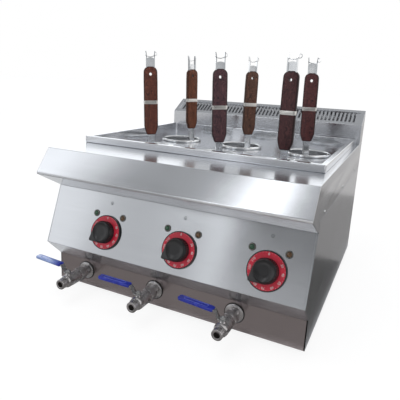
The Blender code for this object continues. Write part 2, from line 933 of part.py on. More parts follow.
def knobs():
    """Knobs: a dial skirt, a raised cap, a pointer and a blind bore on the shaft."""
    face = knob_lift + dial_thickness
    top = face + cap_height
    bore = shaft_radius + gap
    for index, name in enumerate(well_names):
        frame = knob_frame(index)
        profile = [
            (bore, knob_lift),
            (dial_radius, knob_lift),
            (dial_radius, face),
            (cap_radius, face),
            (cap_radius - knob_chamfer, top),
            (0.0, top),
            (0.0, shaft_reach + gap),
            (bore, shaft_reach + gap),
        ]
        made = turned("knob_" + name, profile, round_sides, frame, knob_black, closed=True)
        turn = Matrix.Rotation(math.radians(pointer_turn_deg), 4, "Z")
        half = pointer_width / 2
        outline = [(cap_radius / 2, -half), (pointer_length, 0.0), (cap_radius / 2, half)]
        low = face - dial_thickness / 2
        tool = prism("pointer_" + name, outline, low, top - knob_chamfer, frame=frame @ turn)
        combine(made, tool, "UNION")
        anchor(made, frame)


def lamps():
    """Round lamps: a bezel and a domed lens in front, a body through the panel."""
    top = lamp_bezel_height + lamp_dome_height
    profile = [
        (0.0, -lamp_body_depth),
        (lamp_radius, -lamp_body_depth),
        (lamp_radius, gap),
        (lamp_bezel_radius, gap),
        (lamp_bezel_radius, lamp_bezel_height),
        (lamp_radius, lamp_bezel_height),
        (lamp_radius / 2, top),
        (0.0, top),
    ]
    for index, name in enumerate(well_names):
        for kind, side, look in (("power", -1, lamp_green), ("heat", 1, lamp_amber)):
            turned(f"lamp_{kind}_{name}", profile, small_sides, lamp_frame(index, side), look)


def grille_frame():
    """Frame on the riser's sloping face, with Y up the slope, and the slope's length."""
    front_top = Vector((riser_front_y, worktop_height + riser_front_height))
    rear_top = Vector((rear_y, worktop_height + riser_rear_height))
    run = (rear_top - front_top).normalized()
    middle = (front_top + rear_top) / 2
    frame = frame_from((1.0, 0.0, 0.0), (0.0, run.x, run.y), (0.0, -run.y, run.x), (0.0, middle.x, middle.y))
    return frame, (rear_top - front_top).length


def flue_riser():
    """Flue cover standing on the back of the worktop, open below, with a sloping vent opening."""
    low = worktop_height + gap
    path = [
        (rear_y, low),
        (rear_y, worktop_height + riser_rear_height),
        (riser_front_y, worktop_height + riser_front_height),
        (riser_front_y, low),
    ]
    made = prism("flue_riser", path, -side_x, side_x, "yzx", look=steel)
    path[0] = (rear_y, low - overrun)
    path[-1] = (riser_front_y, low - overrun)
    hollow_x = side_x - sheet
    hollow = prism("riser_hollow", offset_path(path, sheet), -hollow_x, hollow_x, "yzx")
    combine(made, hollow, "DIFFERENCE")
    frame, slope = grille_frame()
    half_y = slope / 2 - grille_slope_margin
    outline = rectangle(side_x - grille_side_margin, -half_y, half_y)
    return combine(made, prism("riser_vent", outline, -overrun, overrun, frame=frame), "DIFFERENCE")


def flue_grille():
    """Slotted grille lying under the riser's sloping face."""
    frame, slope = grille_frame()
    open_x = side_x - grille_side_margin
    open_y = slope / 2 - grille_slope_margin
    columns = slot_columns(open_x + grille_overlap, open_x, slot_width, slot_pitch)
    slot_y = open_y - slot_end_margin
    rows = [-open_y - grille_overlap, -slot_y, slot_y, open_y + grille_overlap]
    return slotted_plate("flue_grille", columns, rows, sheet, frame @ at(0.0, 0.0, -sheet - gap), steel)


def handle_frame(index):
    """Frame at one handle's foot: Y points out of the basket, Z up the handle."""
    turn = Matrix.Rotation(math.radians(handle_turn_deg[index]) + math.pi, 4, "Z")
    foot = basket_frame(index) @ turn @ at(0.0, strap_radius, 0.0)
    spot = at(*foot.to_translation())
    lean = Matrix.Rotation(math.radians(handle_lean_deg[index]), 4, "Y")
    return spot @ lean @ spot.inverted() @ foot


def strap_outline():
    """Strap and fork web as one flat outline, rising from the basket's lip."""
    half = strap_width / 2
    wide = fork_width / 2
    return [
        (-half, gap),
        (half, gap),
        (half, grip_top_rise),
        (wide, grip_top_rise + fork_neck_rise),
        (wide, grip_top_rise + fork_web_rise),
        (-wide, grip_top_rise + fork_web_rise),
        (-wide, grip_top_rise + fork_neck_rise),
        (-half, grip_top_rise),
    ]


def baskets():
    """Baskets: a thin-walled cup with a lip, the handle strap and its forked hook."""
    inner = basket_radius - basket_wall
    drop = basket_bottom - lip_bottom
    profile = [
        (0.0, drop),
        (basket_radius, drop),
        (basket_radius, 0.0),
        (lip_radius, 0.0),
        (lip_radius, basket_lip_height),
        (inner, basket_lip_height),
        (inner, drop + basket_wall),
        (0.0, drop + basket_wall),
    ]
    for index, name in enumerate(basket_names):
        seat = basket_frame(index)
        made = turned("basket_" + name, profile, round_sides, seat, steel)
        frame = handle_frame(index)
        half = strap_thickness / 2
        combine(made, prism("strap_" + name, strap_outline(), -half, half, "xzy", frame), "UNION")
        low = grip_top_rise + fork_neck_rise
        ear = rectangle(fork_ear_depth / 2, low, grip_top_rise + fork_ear_rise)
        for side in (-1, 1):
            outer = side * fork_width / 2
            inner_face = outer - side * fork_ear_thickness
            combine(made, prism(f"ear_{name}_{side}", ear, inner_face, outer, "yzx", frame), "UNION")
        anchor(made, seat)


def grip_outline():
    """Wooden grip seen from the front: tapered toe, straight sides, round shoulders."""
    half = grip_width / 2
    toe = strap_width / 2 + gap + grip_toe_wall
    base = grip_base_rise + gap
    top = grip_top_rise - gap
    shoulder = min(grip_shoulder, corner_limit_share * half)
    points = [(-toe, base), (toe, base), (half, base + grip_toe_length)]
    points += arc((half - shoulder, top - shoulder), shoulder, 0.0, 90.0)
    points += arc((shoulder - half, top - shoulder), shoulder, 90.0, 180.0)
    points.append((-half, base + grip_toe_length))
    return points


def grips():
    """Wooden grips slotted over the straps, each with its metal band as a low swell."""
    deep = grip_thickness / 2
    half = grip_width / 2 + band_swell
    wide = strap_width / 2 + gap
    thin = strap_thickness / 2 + gap
    low = grip_base_rise + band_rise
    for index, name in enumerate(basket_names):
        frame = handle_frame(index)
        made = prism("grip_" + name, grip_outline(), -deep, deep, "xzy", frame, grip_wood)
        band = rectangle(half, low, low + band_height)
        swell = deep + band_swell
        combine(made, prism("band_" + name, band, -swell, swell, "xzy", frame), "UNION")
        slot = rectangle(wide, grip_base_rise - overrun, grip_top_rise + overrun)
        combine(made, prism("grip_slot_" + name, slot, -thin, thin, "xzy", frame), "DIFFERENCE")
        anchor(made, basket_frame(index))


def feet():
    """Low feet under the base pan."""
    profile = [
        (0.0, -foot_height),
        (foot_radius - foot_taper, -foot_height),
        (foot_radius, -gap),
        (0.0, -gap),
    ]
    across = (("left", foot_side_inset - side_x), ("right", side_x - foot_side_inset))
    along = (("front", apron_y + foot_front_inset), ("rear", rear_y - foot_side_inset))
    for row, y in along:
        for column, x in across:
            turned(f"foot_{row}_{column}", profile, round_sides, at(x, y, 0.0), foot_rubber)


def build():
    """Make every piece of the machine."""
    clear_scene()
    base_pan()
    side_panels()
    back_panel()
    front_apron()
    control_panel()
    worktop()
    basin_rim()
    basket_deck()
    tanks()
    heaters()
    drain_pipes()
    drain_valves()
    valve_levers()
    thermostats()
    knobs()
    lamps()
    flue_riser()
    flue_grille()
    baskets()
    grips()
    cable_gland()
    terminal_block()
    feet()


build()
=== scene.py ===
"""Looks of the counter-top pasta cooker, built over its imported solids, with a plain studio.

Laid out as an add-on and run as a script. Metres, +Z up, front towards -Y.
"""
import json
import math

import bmesh
import bpy
from mathutils import Matrix, Vector


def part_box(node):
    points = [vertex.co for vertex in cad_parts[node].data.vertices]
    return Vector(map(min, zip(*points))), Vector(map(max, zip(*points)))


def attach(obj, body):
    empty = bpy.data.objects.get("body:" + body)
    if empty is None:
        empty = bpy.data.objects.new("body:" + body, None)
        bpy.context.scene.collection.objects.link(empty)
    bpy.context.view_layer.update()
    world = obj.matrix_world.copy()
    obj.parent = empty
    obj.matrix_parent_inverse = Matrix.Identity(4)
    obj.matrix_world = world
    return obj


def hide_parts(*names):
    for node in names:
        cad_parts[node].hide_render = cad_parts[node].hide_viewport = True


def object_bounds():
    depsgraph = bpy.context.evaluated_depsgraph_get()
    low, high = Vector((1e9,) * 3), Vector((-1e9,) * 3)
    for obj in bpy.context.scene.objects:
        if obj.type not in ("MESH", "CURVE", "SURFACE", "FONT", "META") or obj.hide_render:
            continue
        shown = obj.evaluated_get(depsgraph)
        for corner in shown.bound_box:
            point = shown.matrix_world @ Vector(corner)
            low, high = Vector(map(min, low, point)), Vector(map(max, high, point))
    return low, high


bl_info = {
    "name": "Pasta cooker looks",
    "version": (1, 0, 0),
    "blender": (4, 5, 0),
    "location": "View3D > Sidebar > Pasta cooker",
    "description": "Dresses the packed pasta cooker and sets its studio",
    "category": "Object",
}

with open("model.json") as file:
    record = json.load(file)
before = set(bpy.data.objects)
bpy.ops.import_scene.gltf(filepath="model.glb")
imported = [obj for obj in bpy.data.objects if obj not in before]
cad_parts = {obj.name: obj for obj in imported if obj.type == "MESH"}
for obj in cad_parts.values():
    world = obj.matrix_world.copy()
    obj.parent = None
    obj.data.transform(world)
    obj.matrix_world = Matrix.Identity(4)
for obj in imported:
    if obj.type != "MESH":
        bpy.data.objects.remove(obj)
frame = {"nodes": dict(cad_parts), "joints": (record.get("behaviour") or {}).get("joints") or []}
cad = frame["nodes"]
joints = {joint["name"]: joint for joint in frame["joints"]}
cad_corners = [list(corner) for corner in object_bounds()]

columns = ("left", "middle", "right")
basket_names = tuple(f"{row}_{column}" for row in ("front", "rear") for column in columns)

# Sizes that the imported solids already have, repeated where a piece follows them
lip_bottom = 0.3103
basket_bottom = 0.170
basket_radius = 0.052
lip_radius = 0.060
strap_distance = 0.055
handle_turn_deg = (35.0, 32.0, -4.0, 58.0, 38.0, 6.0)
handle_lean_deg = (-2.6, -2.6, 0.0, -2.2, 0.0, -1.2)
web_rise = (0.0215, 0.0155, 0.0190, 0.0140, 0.0140, 0.0230)
grip_foot = 0.0413
grip_head = 0.2087
strap_half_width = 0.008
fork_half_width = 0.012
dial_radius = 0.038
dial_lift = 0.001
dial_face = 0.005
cap_radius = 0.025
cap_top = 0.023
shaft_radius = 0.0033
shaft_end = 0.0143
lamp_distance = 0.0517
lamp_turn_deg = 42.6
lamp_radius = 0.0055
bezel_radius = 0.0075
apron_y = -0.278
valve_height = 0.037
flange_radius = 0.0215
seam_height = 0.258

small = 0.0002
round_sides = 48
wire_sides = 10


def colour_prop(name, description, default):
    """Property that holds one colour."""
    return bpy.props.FloatVectorProperty(
        name=name, description=description, default=default, size=3, min=0.0, max=1.0, subtype="COLOR"
    )


def length_prop(name, description, default):
    """Property that holds one length in metres."""
    return bpy.props.FloatProperty(
        name=name, description=description, default=default, min=0.0, unit="LENGTH", precision=5
    )


def share_prop(name, description, default):
    """Property that holds a share from nought to one."""
    return bpy.props.FloatProperty(
        name=name, description=description, default=default, min=0.0, max=1.0, subtype="FACTOR"
    )


class SheetSettings(bpy.types.PropertyGroup):
    """Folded steel of the cabinet."""

    steel: colour_prop("Steel", "Colour of the brushed sheets", (0.71, 0.72, 0.745))
    # The apron's darker warm tint is a painted reflection of a brownish floor.
    apron: colour_prop("Apron steel", "Colour of the strip behind the valves", (0.50, 0.44, 0.44))
    bend: length_prop("Bend radius", "Outside radius of the folds", 0.003)
    edge: length_prop("Edge radius", "Rounding of the cut edges", 0.0004)
    roughness: share_prop("Roughness", "How dull the brushed sheets are", 0.19)
    grain: share_prop("Grain", "How far the brushing stretches reflections", 0.75)


class BasketSettings(bpy.types.PropertyGroup):
    """Mesh baskets with their rings, straps and forked hooks."""

    ring: length_prop("Ring wire", "Radius of the wire round the top", 0.0028)
    inner_ring: length_prop("Inner ring wire", "Radius of the second wire inside it", 0.0014)
    net_open: share_prop("Open share", "Share of each cell of the net that is open", 0.56)
    net_wall: length_prop("Net thickness", "Thickness of the net", 0.0009)
    hook_wire: length_prop("Hook wire", "Radius of the wire across the fork", 0.0009)
    polish: share_prop("Polish", "Roughness of the wires", 0.14)


class GripSettings(bpy.types.PropertyGroup):
    """Wooden grips."""

    dark: colour_prop("Dark grain", "Colour of the dark wood", (0.048, 0.019, 0.015))
    light: colour_prop("Light grain", "Colour of the light wood", (0.270, 0.078, 0.048))
    edge: length_prop("Edge radius", "Rounding of the grip's edges", 0.0042)
    hole: length_prop("Hole radius", "Radius of the hanging hole", 0.0035)
    hole_drop: length_prop("Hole drop", "How far the hole lies under the top", 0.0185)
    band: length_prop("Band height", "Height of the metal band", 0.009)
    # The darker wood on the rounded edges is painted shade along the grip's sides.
    edge_shade: share_prop("Edge tone", "How light the rounded edges are beside the faces", 0.42)


class ControlSettings(bpy.types.PropertyGroup):
    """Knobs and lamps."""

    dial: colour_prop("Dial", "Colour of the numbered ring", (0.74, 0.020, 0.055))
    mark: colour_prop("Marks", "Colour of the numbers", (0.86, 0.80, 0.80))
    cap: colour_prop("Cap", "Colour of the knob's cap", (0.012, 0.011, 0.012))
    green: colour_prop("Green lens", "Colour of the power lamp", (0.018, 0.090, 0.038))
    amber: colour_prop("Amber lens", "Colour of the heating lamp", (0.13, 0.060, 0.018))
    flutes: bpy.props.IntProperty(name="Flutes", description="Ribs round the cap", default=36, min=6)


class DrainSettings(bpy.types.PropertyGroup):
    """Valves, levers and sleeves."""

    metal: colour_prop("Valve metal", "Colour of the plated valve", (0.56, 0.54, 0.54))
    sleeve: colour_prop("Sleeve", "Colour of the vinyl sleeve", (0.012, 0.026, 0.36))
    # The raised line's lighter blue is a painted highlight along the ridge.
    ridge_highlight: colour_prop("Raised line", "Colour of the raised line on a sleeve", (0.14, 0.18, 0.62))
    # The lighter end colour is a painted highlight on the left sleeve's tip.
    tip_highlight: colour_prop("Faded sleeve", "Colour of the left sleeve's faded end", (0.30, 0.40, 0.72))
    gasket: length_prop("Gasket", "How far the gasket shows round the flange", 0.0016)
    ribs: bpy.props.IntProperty(name="Spout ribs", description="Rings turned in the spout", default=5, min=0)


class StageSettings(bpy.types.PropertyGroup):
    """Floor, backdrop, lamps and camera."""

    floor: colour_prop("Floor", "Colour of the floor", (0.80, 0.80, 0.80))
    glow: bpy.props.FloatProperty(
        name="Floor glow", description="Glow that keeps the floor white", default=1.12
    )
    room: share_prop("Room light", "Light from all round", 0.62)
    focal: bpy.props.FloatProperty(name="Focal length", description="Lens in millimetres", default=39.56)


def linked(name, data):
    """Put data into the scene as an object."""
    made = bpy.data.objects.new(name, data)
    bpy.context.scene.collection.objects.link(made)
    return made


def smoothed(mesh, limit_deg=35.0):
    """Shade smooth, with edges sharper than a limit kept."""
    mesh.shade_smooth()
    mesh.set_sharp_from_angle(angle=math.radians(limit_deg))


def add_object(name, points, faces, looks=(), numbers=None, smooth_deg=35.0):
    """Make one mesh object with its faces pointing out."""
    mesh = bpy.data.meshes.new(name)
    mesh.from_pydata([tuple(point) for point in points], [], faces)
    for look in looks:
        mesh.materials.append(look)
    if numbers:
        mesh.polygons.foreach_set("material_index", numbers)
    tidy = bmesh.new()
    tidy.from_mesh(mesh)
    bmesh.ops.recalc_face_normals(tidy, faces=tidy.faces)
    tidy.to_mesh(mesh)
    tidy.free()
    smoothed(mesh, smooth_deg)
    return linked(name, mesh)


class Shape:
    """Points and faces of one piece while it is put together."""

    def __init__(self):
        self.points = []
        self.faces = []
        self.numbers = []

    def add(self, points, faces, number=0):
        """Add points with the faces between them, in one material."""
        start = len(self.points)
        self.points += points
        self.faces += [tuple(start + index for index in face) for face in faces]
        self.numbers += [number] * len(faces)

    def lathe(self, profile, place, number=0, sides=round_sides, closed=False):
        """Turn (radius, height) points round the place's Z axis."""
        points = []
        rings = []
        for radius, height in profile:
            if radius == 0.0:
                rings.append([len(points)])
                points.append(place @ Vector((0.0, 0.0, height)))
                continue
            rings.append(list(range(len(points), len(points) + sides)))
            for index in range(sides):
                angle = math.tau * (index + 0.5) / sides
                points.append(place @ Vector((radius * math.cos(angle), radius * math.sin(angle), height)))
        pairs = list(zip(rings, rings[1:]))
        if closed:
            pairs.append((rings[-1], rings[0]))
        faces = []
        for first, second in pairs:
            for index in range(sides):
                after = (index + 1) % sides
                corners = [first[index % len(first)], first[after % len(first)]]
                corners += [second[after % len(second)], second[index % len(second)]]
                face = tuple(dict.fromkeys(corners))
                if len(face) > 2:
                    faces.append(face)
        self.add(points, faces, number)

    def prism(self, outline, low, high, place, number=0):
        """Extrude an outline in the place's XY plane along its Z axis."""
        count = len(outline)
        points = [place @ Vector((x, y, z)) for z in (low, high) for x, y in outline]
        faces = [tuple(range(count)), tuple(range(count, 2 * count))]
        for index in range(count):
            after = (index + 1) % count
            faces.append((index, after, count + after, count + index))
        self.add(points, faces, number)

    def tube(self, path, radius, number=0, closed=False, sides=wire_sides):
        """Wire of one radius along a path."""
        points = []
        across = None
        count = len(path)
        for index, point in enumerate(path):
            before = path[(index - 1) % count] if closed else path[max(index - 1, 0)]
            after = path[(index + 1) % count] if closed else path[min(index + 1, count - 1)]
            heading = (after - before).normalized()
            if across is None:
                across = heading.orthogonal()
            across = (across - heading * across.dot(heading)).normalized()
            up = heading.cross(across)
            for side in range(sides):
                angle = math.tau * side / sides
                points.append(point + (across * math.cos(angle) + up * math.sin(angle)) * radius)
        faces = []
        if not closed:
            faces += [tuple(range(sides)), tuple(range(len(points) - sides, len(points)))]
        for level in range(count - 1 + closed):
            near = level * sides
            far = (level + 1) % count * sides
            for index in range(sides):
                after = (index + 1) % sides
                faces.append((near + index, near + after, far + after, far + index))
        self.add(points, faces, number)

    def piece(self, name, looks, smooth_deg=35.0):
        """Return what was added as one object."""
        return add_object(name, self.points, self.faces, looks, self.numbers, smooth_deg)


def at(x, y, z):
    """Frame at a place, along the world's axes."""
    return Matrix.Translation((x, y, z))


def turned_by(degrees, axis="Z"):
    """Frame turned about one of its axes."""
    return Matrix.Rotation(math.radians(degrees), 4, axis)


def frame_from(right, up, out, place):
    """Frame with these directions as its X, Y and Z."""
    rows = [[column[row] for column in (right, up, out, place)] for row in range(3)]
    return Matrix(rows + [[0.0, 0.0, 0.0, 1.0]])


def ring_path(radius, height, place, sides=64):
    """Points round a circle."""
    steps = [math.tau * index / sides for index in range(sides)]
    return [place @ Vector((radius * math.cos(a), radius * math.sin(a), height)) for a in steps]


def corner(centre, radius, start_deg, end_deg, steps=6):
    """Points of a rounded corner."""
    points = []
    for step in range(steps + 1):
        angle = math.radians(start_deg + (end_deg - start_deg) * step / steps)
        points.append((centre[0] + radius * math.cos(angle), centre[1] + radius * math.sin(angle)))
    return points


def round_box(low_x, high_x, half_y, radius, steps):
    """Outline of a rectangle with rounded corners."""
    near = low_x + radius
    far = high_x - radius
    side = half_y - radius
    points = []
    for step, centre in enumerate(((far, side), (near, side), (near, -side), (far, -side))):
        points += corner(centre, radius, 90.0 * step, 90.0 * (step + 1), steps)
    return points


def box_outline(half_x, low, high):
    """Outline of a rectangle."""
    return [(-half_x, low), (half_x, low), (half_x, high), (-half_x, high)]


def made_plain(made):
    """Turn an object with modifiers into a plain mesh."""
    graph = bpy.context.evaluated_depsgraph_get()
    mesh = bpy.data.meshes.new_from_object(made.evaluated_get(graph))
    made.modifiers.clear()
    made.data = mesh
    return made


def flat_faced(made, limit_deg=35.0):
    """Keep large faces flat and let only the narrow rounded strips between them curve."""
    smoothed(made.data, limit_deg)
    change = made.modifiers.new("normals", "WEIGHTED_NORMAL")
    change.keep_sharp = True
    change.weight = 100
    return made_plain(made)


def rounded(made, width, segments=3, limit_deg=30.0):
    """Round every edge sharper than a limit."""
    change = made.modifiers.new("round", "BEVEL")
    change.width = width
    change.segments = segments
    change.limit_method = "ANGLE"
    change.angle_limit = math.radians(limit_deg)
    change.harden_normals = True
    return made_plain(made)


def cut(made, tools):
    """Cut closed shapes out of a piece and drop them."""
    for tool in tools:
        change = made.modifiers.new("cut", "BOOLEAN")
        change.object = tool
        change.solver = "EXACT"
    made_plain(made)
    for tool in tools:
        bpy.data.objects.remove(tool, do_unlink=True)
    return made


def settle(made, body, slot, *stands_for):
    """Give a finished piece its body and hide the solids it stands for; the slot is not used."""
    if stands_for:
        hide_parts(*stands_for)
    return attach(made, body)


def repaint(names, look):
    """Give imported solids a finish."""
    for name in names:
        cad[name].data.materials.clear()
        cad[name].data.materials.append(look)


# Shader groups


def group_io(name, inputs, outputs):
    """Start a shader group with named inputs and outputs."""
    group = bpy.data.node_groups.new(name, "ShaderNodeTree")
    for kind, title, default in inputs:
        socket = group.interface.new_socket(name=title, in_out="INPUT", socket_type=kind)
        if default is not None:
            socket.default_value = default
    for kind, title in outputs:
        group.interface.new_socket(name=title, in_out="OUTPUT", socket_type=kind)
    return group, group.nodes.new("NodeGroupInput"), group.nodes.new("NodeGroupOutput")


def add_node(tree, kind, links=(), **values):
    """Add a node, set its values and sockets, and link its inputs."""
    node = tree.nodes.new(kind)
    for name, value in values.items():
        setattr(node, name, value)
    for socket, source in links:
        if hasattr(source, "is_output"):
            tree.links.new(source, node.inputs[socket])
        else:
            node.inputs[socket].default_value = source
    return node


def math_node(tree, operation, first, second=0.5, third=0.0):
    """Add a math node and return its result."""
    node = add_node(tree, "ShaderNodeMath", ((0, first), (1, second), (2, third)), operation=operation)
    return node.outputs[0]


def remapped(tree, value, low, high, to_low, to_high):
    """Map a value from one range to another, clamped."""
    links = (("Value", value), ("From Min", low), ("From Max", high), ("To Min", to_low), ("To Max", to_high))
    return add_node(tree, "ShaderNodeMapRange", links).outputs["Result"]


def noise(tree, vector, scale, detail=2.0, roughness=0.5):
    """Add a noise texture and return its value."""
    links = (("Vector", vector), ("Scale", scale), ("Detail", detail), ("Roughness", roughness))
    return add_node(tree, "ShaderNodeTexNoise", links).outputs["Fac"]


def shared_tree(name, maker):
    """Return a node group by name, made once."""
    return bpy.data.node_groups.get(name) or maker()


def brushing_group():
    """Fine lines along one direction, for brushed steel."""
    inputs = (
        ("NodeSocketVector", "Stretch", (1.0, 1.0, 1.0)),
        ("NodeSocketFloat", "Lines", 900.0),
        ("NodeSocketFloat", "Blotch", 7.0),
    )
    outputs = (("NodeSocketFloat", "Height"), ("NodeSocketFloat", "Tone"), ("NodeSocketFloat", "Dulling"))
    tree, into, out = group_io("brushing", inputs, outputs)
    place = add_node(tree, "ShaderNodeTexCoord").outputs["Object"]
    links = ((0, place), (1, into.outputs["Stretch"]))
    scaled = add_node(tree, "ShaderNodeVectorMath", links, operation="MULTIPLY")
    fine = noise(tree, scaled.outputs[0], into.outputs["Lines"], 3.0, 0.6)
    broad_scale = math_node(tree, "MULTIPLY", into.outputs["Lines"], 0.12)
    broad = noise(tree, scaled.outputs[0], broad_scale, 2.0)
    blotch = noise(tree, place, into.outputs["Blotch"], 3.0, 0.55)
    fine_part = math_node(tree, "MULTIPLY", fine, 0.6)
    broad_part = math_node(tree, "MULTIPLY", broad, 0.4)
    lines = math_node(tree, "ADD", fine_part, broad_part)
    tree.links.new(lines, out.inputs["Height"])
    line_part = math_node(tree, "MULTIPLY", lines, 0.5)
    blotch_part = math_node(tree, "MULTIPLY", blotch, 0.5)
    mixed = math_node(tree, "ADD", line_part, blotch_part)
    tree.links.new(mixed, out.inputs["Tone"])
    tree.links.new(blotch, out.inputs["Dulling"])
    return tree


def timber_group():
    """Long dark grain of a hardwood, along the local Z of the tree's stretch."""
    inputs = (("NodeSocketVector", "Shift", (0.0, 0.0, 0.0)), ("NodeSocketFloat", "Grain", 150.0))
    outputs = (("NodeSocketFloat", "Grain"), ("NodeSocketFloat", "Pores"))
    tree, into, out = group_io("timber", inputs, outputs)
    place = add_node(tree, "ShaderNodeTexCoord").outputs["Object"]
    moved = add_node(tree, "ShaderNodeVectorMath", ((0, place), (1, into.outputs["Shift"])), operation="ADD")
    squeezed = add_node(
        tree, "ShaderNodeVectorMath", ((0, moved.outputs[0]), (1, (1.0, 1.0, 0.03))), operation="MULTIPLY"
    )
    warp = noise(tree, moved.outputs[0], 30.0, 2.0)
    links = [("Vector", squeezed.outputs[0]), ("W", warp), ("Scale", into.outputs["Grain"])]
    links += [("Detail", 4.0), ("Roughness", 0.6)]
    grain = add_node(tree, "ShaderNodeTexNoise", links, noise_dimensions="4D").outputs["Fac"]
    pore_scale = math_node(tree, "MULTIPLY", into.outputs["Grain"], 5.0)
    pores = noise(tree, squeezed.outputs[0], pore_scale, 2.0, 0.7)
    tree.links.new(remapped(tree, grain, 0.40, 0.62, 0.0, 1.0), out.inputs["Grain"])
    tree.links.new(remapped(tree, pores, 0.60, 0.85, 0.0, 1.0), out.inputs["Pores"])
    return tree


def handling_group():
    """Soft blotches of handling and fine scratches, for plastics and rubber."""
    inputs = (("NodeSocketFloat", "Blotch", 60.0), ("NodeSocketFloat", "Fine", 1400.0))
    outputs = (("NodeSocketFloat", "Blotch"), ("NodeSocketFloat", "Fine"))
    tree, into, out = group_io("handling", inputs, outputs)
    place = add_node(tree, "ShaderNodeTexCoord").outputs["Object"]
    tree.links.new(noise(tree, place, into.outputs["Blotch"], 3.0), out.inputs["Blotch"])
    tree.links.new(noise(tree, place, into.outputs["Fine"], 2.0, 0.6), out.inputs["Fine"])
    return tree


# Materials


def new_look(name):
    """Start a material and return it with its tree and shader."""
    made = bpy.data.materials.new(name)
    made.use_nodes = True
    return made, made.node_tree, made.node_tree.nodes["Principled BSDF"]


def place_group(tree, group, **values):
    """Place a shader group in a material and set its inputs."""
    node = tree.nodes.new("ShaderNodeGroup")
    node.node_tree = group
    for name, value in values.items():
        node.inputs[name].default_value = value
    return node.outputs


def blended(tree, factor, first, second):
    """Blend two colours by a factor."""
    links = ((0, factor), (6, first), (7, second))
    return add_node(tree, "ShaderNodeMix", links, data_type="RGBA").outputs[2]


def shaded(tree, value, low, high, dark, light):
    """Blend two colours over a value's range."""
    factor = remapped(tree, value, low, high, 0.0, 1.0)
    return blended(tree, factor, (*dark, 1.0), (*light, 1.0))


def coloured(tree, shader, value, low, high, dark, light):
    """Let the base colour follow a value."""
    tree.links.new(shaded(tree, value, low, high, dark, light), shader.inputs["Base Color"])


def dulled(tree, shader, value, low, high, smooth, rough):
    """Let the roughness follow a value."""
    tree.links.new(remapped(tree, value, low, high, smooth, rough), shader.inputs["Roughness"])


def bumped(tree, shader, height, distance, strength=1.0):
    """Raise a surface by a height."""
    links = (("Height", height), ("Distance", distance), ("Strength", strength))
    tree.links.new(add_node(tree, "ShaderNodeBump", links).outputs[0], shader.inputs["Normal"])


def tinted(colour, share):
    """Return a colour made lighter or darker by a share."""
    return tuple(min(value * share, 1.0) for value in colour)


def around_colour(colour, spread):
    """Return a colour made darker and lighter by the same share."""
    return tinted(colour, 1.0 - spread), tinted(colour, 1.0 + spread)


def steel_look(name, colour, roughness, grain, axis="X", lines=420.0, spread=0.04):
    """Brushed steel with its lines along one axis."""
    made, tree, shader = new_look(name)
    stretch = {"X": (0.02, 1.0, 1.0), "Y": (1.0, 0.02, 1.0), "Z": (1.0, 1.0, 0.02)}[axis]
    outputs = place_group(tree, shared_tree("brushing", brushing_group), Stretch=stretch, Lines=lines)
    coloured(tree, shader, outputs["Tone"], 0.35, 0.65, *around_colour(colour, spread))
    dulled(tree, shader, outputs["Dulling"], 0.3, 0.7, roughness - spread / 2, roughness + spread / 2)
    shader.inputs["Metallic"].default_value = 1.0
    shader.inputs["Anisotropic"].default_value = grain
    brushed = {"X": (1.0, 0.0, 0.0), "Y": (0.0, 1.0, 0.0), "Z": (0.0, 0.0, 1.0)}[axis]
    facing = add_node(tree, "ShaderNodeNewGeometry").outputs["Normal"]
    links = ((0, facing), (1, brushed))
    tangent = add_node(tree, "ShaderNodeVectorMath", links, operation="CROSS_PRODUCT")
    tree.links.new(tangent.outputs[0], shader.inputs["Tangent"])
    bumped(tree, shader, outputs["Height"], 0.00001, 0.05)
    return made


def metal_look(name, colour, roughness, spread=0.1, fine=1400.0):
    """Plated or polished metal with light handling marks."""
    made, tree, shader = new_look(name)
    outputs = place_group(tree, shared_tree("handling", handling_group), Fine=fine)
    coloured(tree, shader, outputs["Blotch"], 0.3, 0.7, *around_colour(colour, spread))
    dulled(tree, shader, outputs["Blotch"], 0.3, 0.7, roughness * 0.8, roughness * 1.25)
    shader.inputs["Metallic"].default_value = 1.0
    bumped(tree, shader, outputs["Fine"], 0.00003, 0.3)
    return made


def plastic_look(name, colour, roughness, coat=0.0, spread=0.15, fine=1400.0, height=0.00003):
    """Moulded plastic, vinyl or rubber."""
    made, tree, shader = new_look(name)
    outputs = place_group(tree, shared_tree("handling", handling_group), Fine=fine)
    coloured(tree, shader, outputs["Blotch"], 0.3, 0.7, *around_colour(colour, spread))
    dulled(tree, shader, outputs["Blotch"], 0.3, 0.7, roughness * 0.85, roughness * 1.15)
    shader.inputs["Coat Weight"].default_value = coat
    shader.inputs["Coat Roughness"].default_value = 0.08
    bumped(tree, shader, outputs["Fine"], height, 0.4)
    return made


def tip_highlight_look(name, colour, tip_highlight):
    """Vinyl painted lighter towards one end: a painted highlight on the tip."""
    made = plastic_look(name, colour, 0.26, 0.5, 0.15, 500.0, 0.0001)
    tree = made.node_tree
    place = add_node(tree, "ShaderNodeTexCoord").outputs["Object"]
    across = add_node(tree, "ShaderNodeSeparateXYZ", ((0, place),)).outputs["X"]
    coloured(tree, tree.nodes["Principled BSDF"], across, -0.270, -0.245, tip_highlight, colour)
    return made


def timber_look(name, dark, light, shift):
    """Oiled dark red hardwood."""
    made, tree, shader = new_look(name)
    outputs = place_group(tree, shared_tree("timber", timber_group), Shift=shift)
    tone = shaded(tree, outputs["Grain"], 0.0, 1.0, dark, light)
    mixed = blended(tree, outputs["Pores"], tone, (*tinted(dark, 0.5), 1.0))
    tree.links.new(mixed, shader.inputs["Base Color"])
    dulled(tree, shader, outputs["Grain"], 0.0, 1.0, 0.52, 0.42)
    shader.inputs["Specular IOR Level"].default_value = 0.3
    shader.inputs["Coat Weight"].default_value = 0.08
    shader.inputs["Coat Roughness"].default_value = 0.25
    bumped(tree, shader, outputs["Pores"], -0.0002, 0.5)
    return made


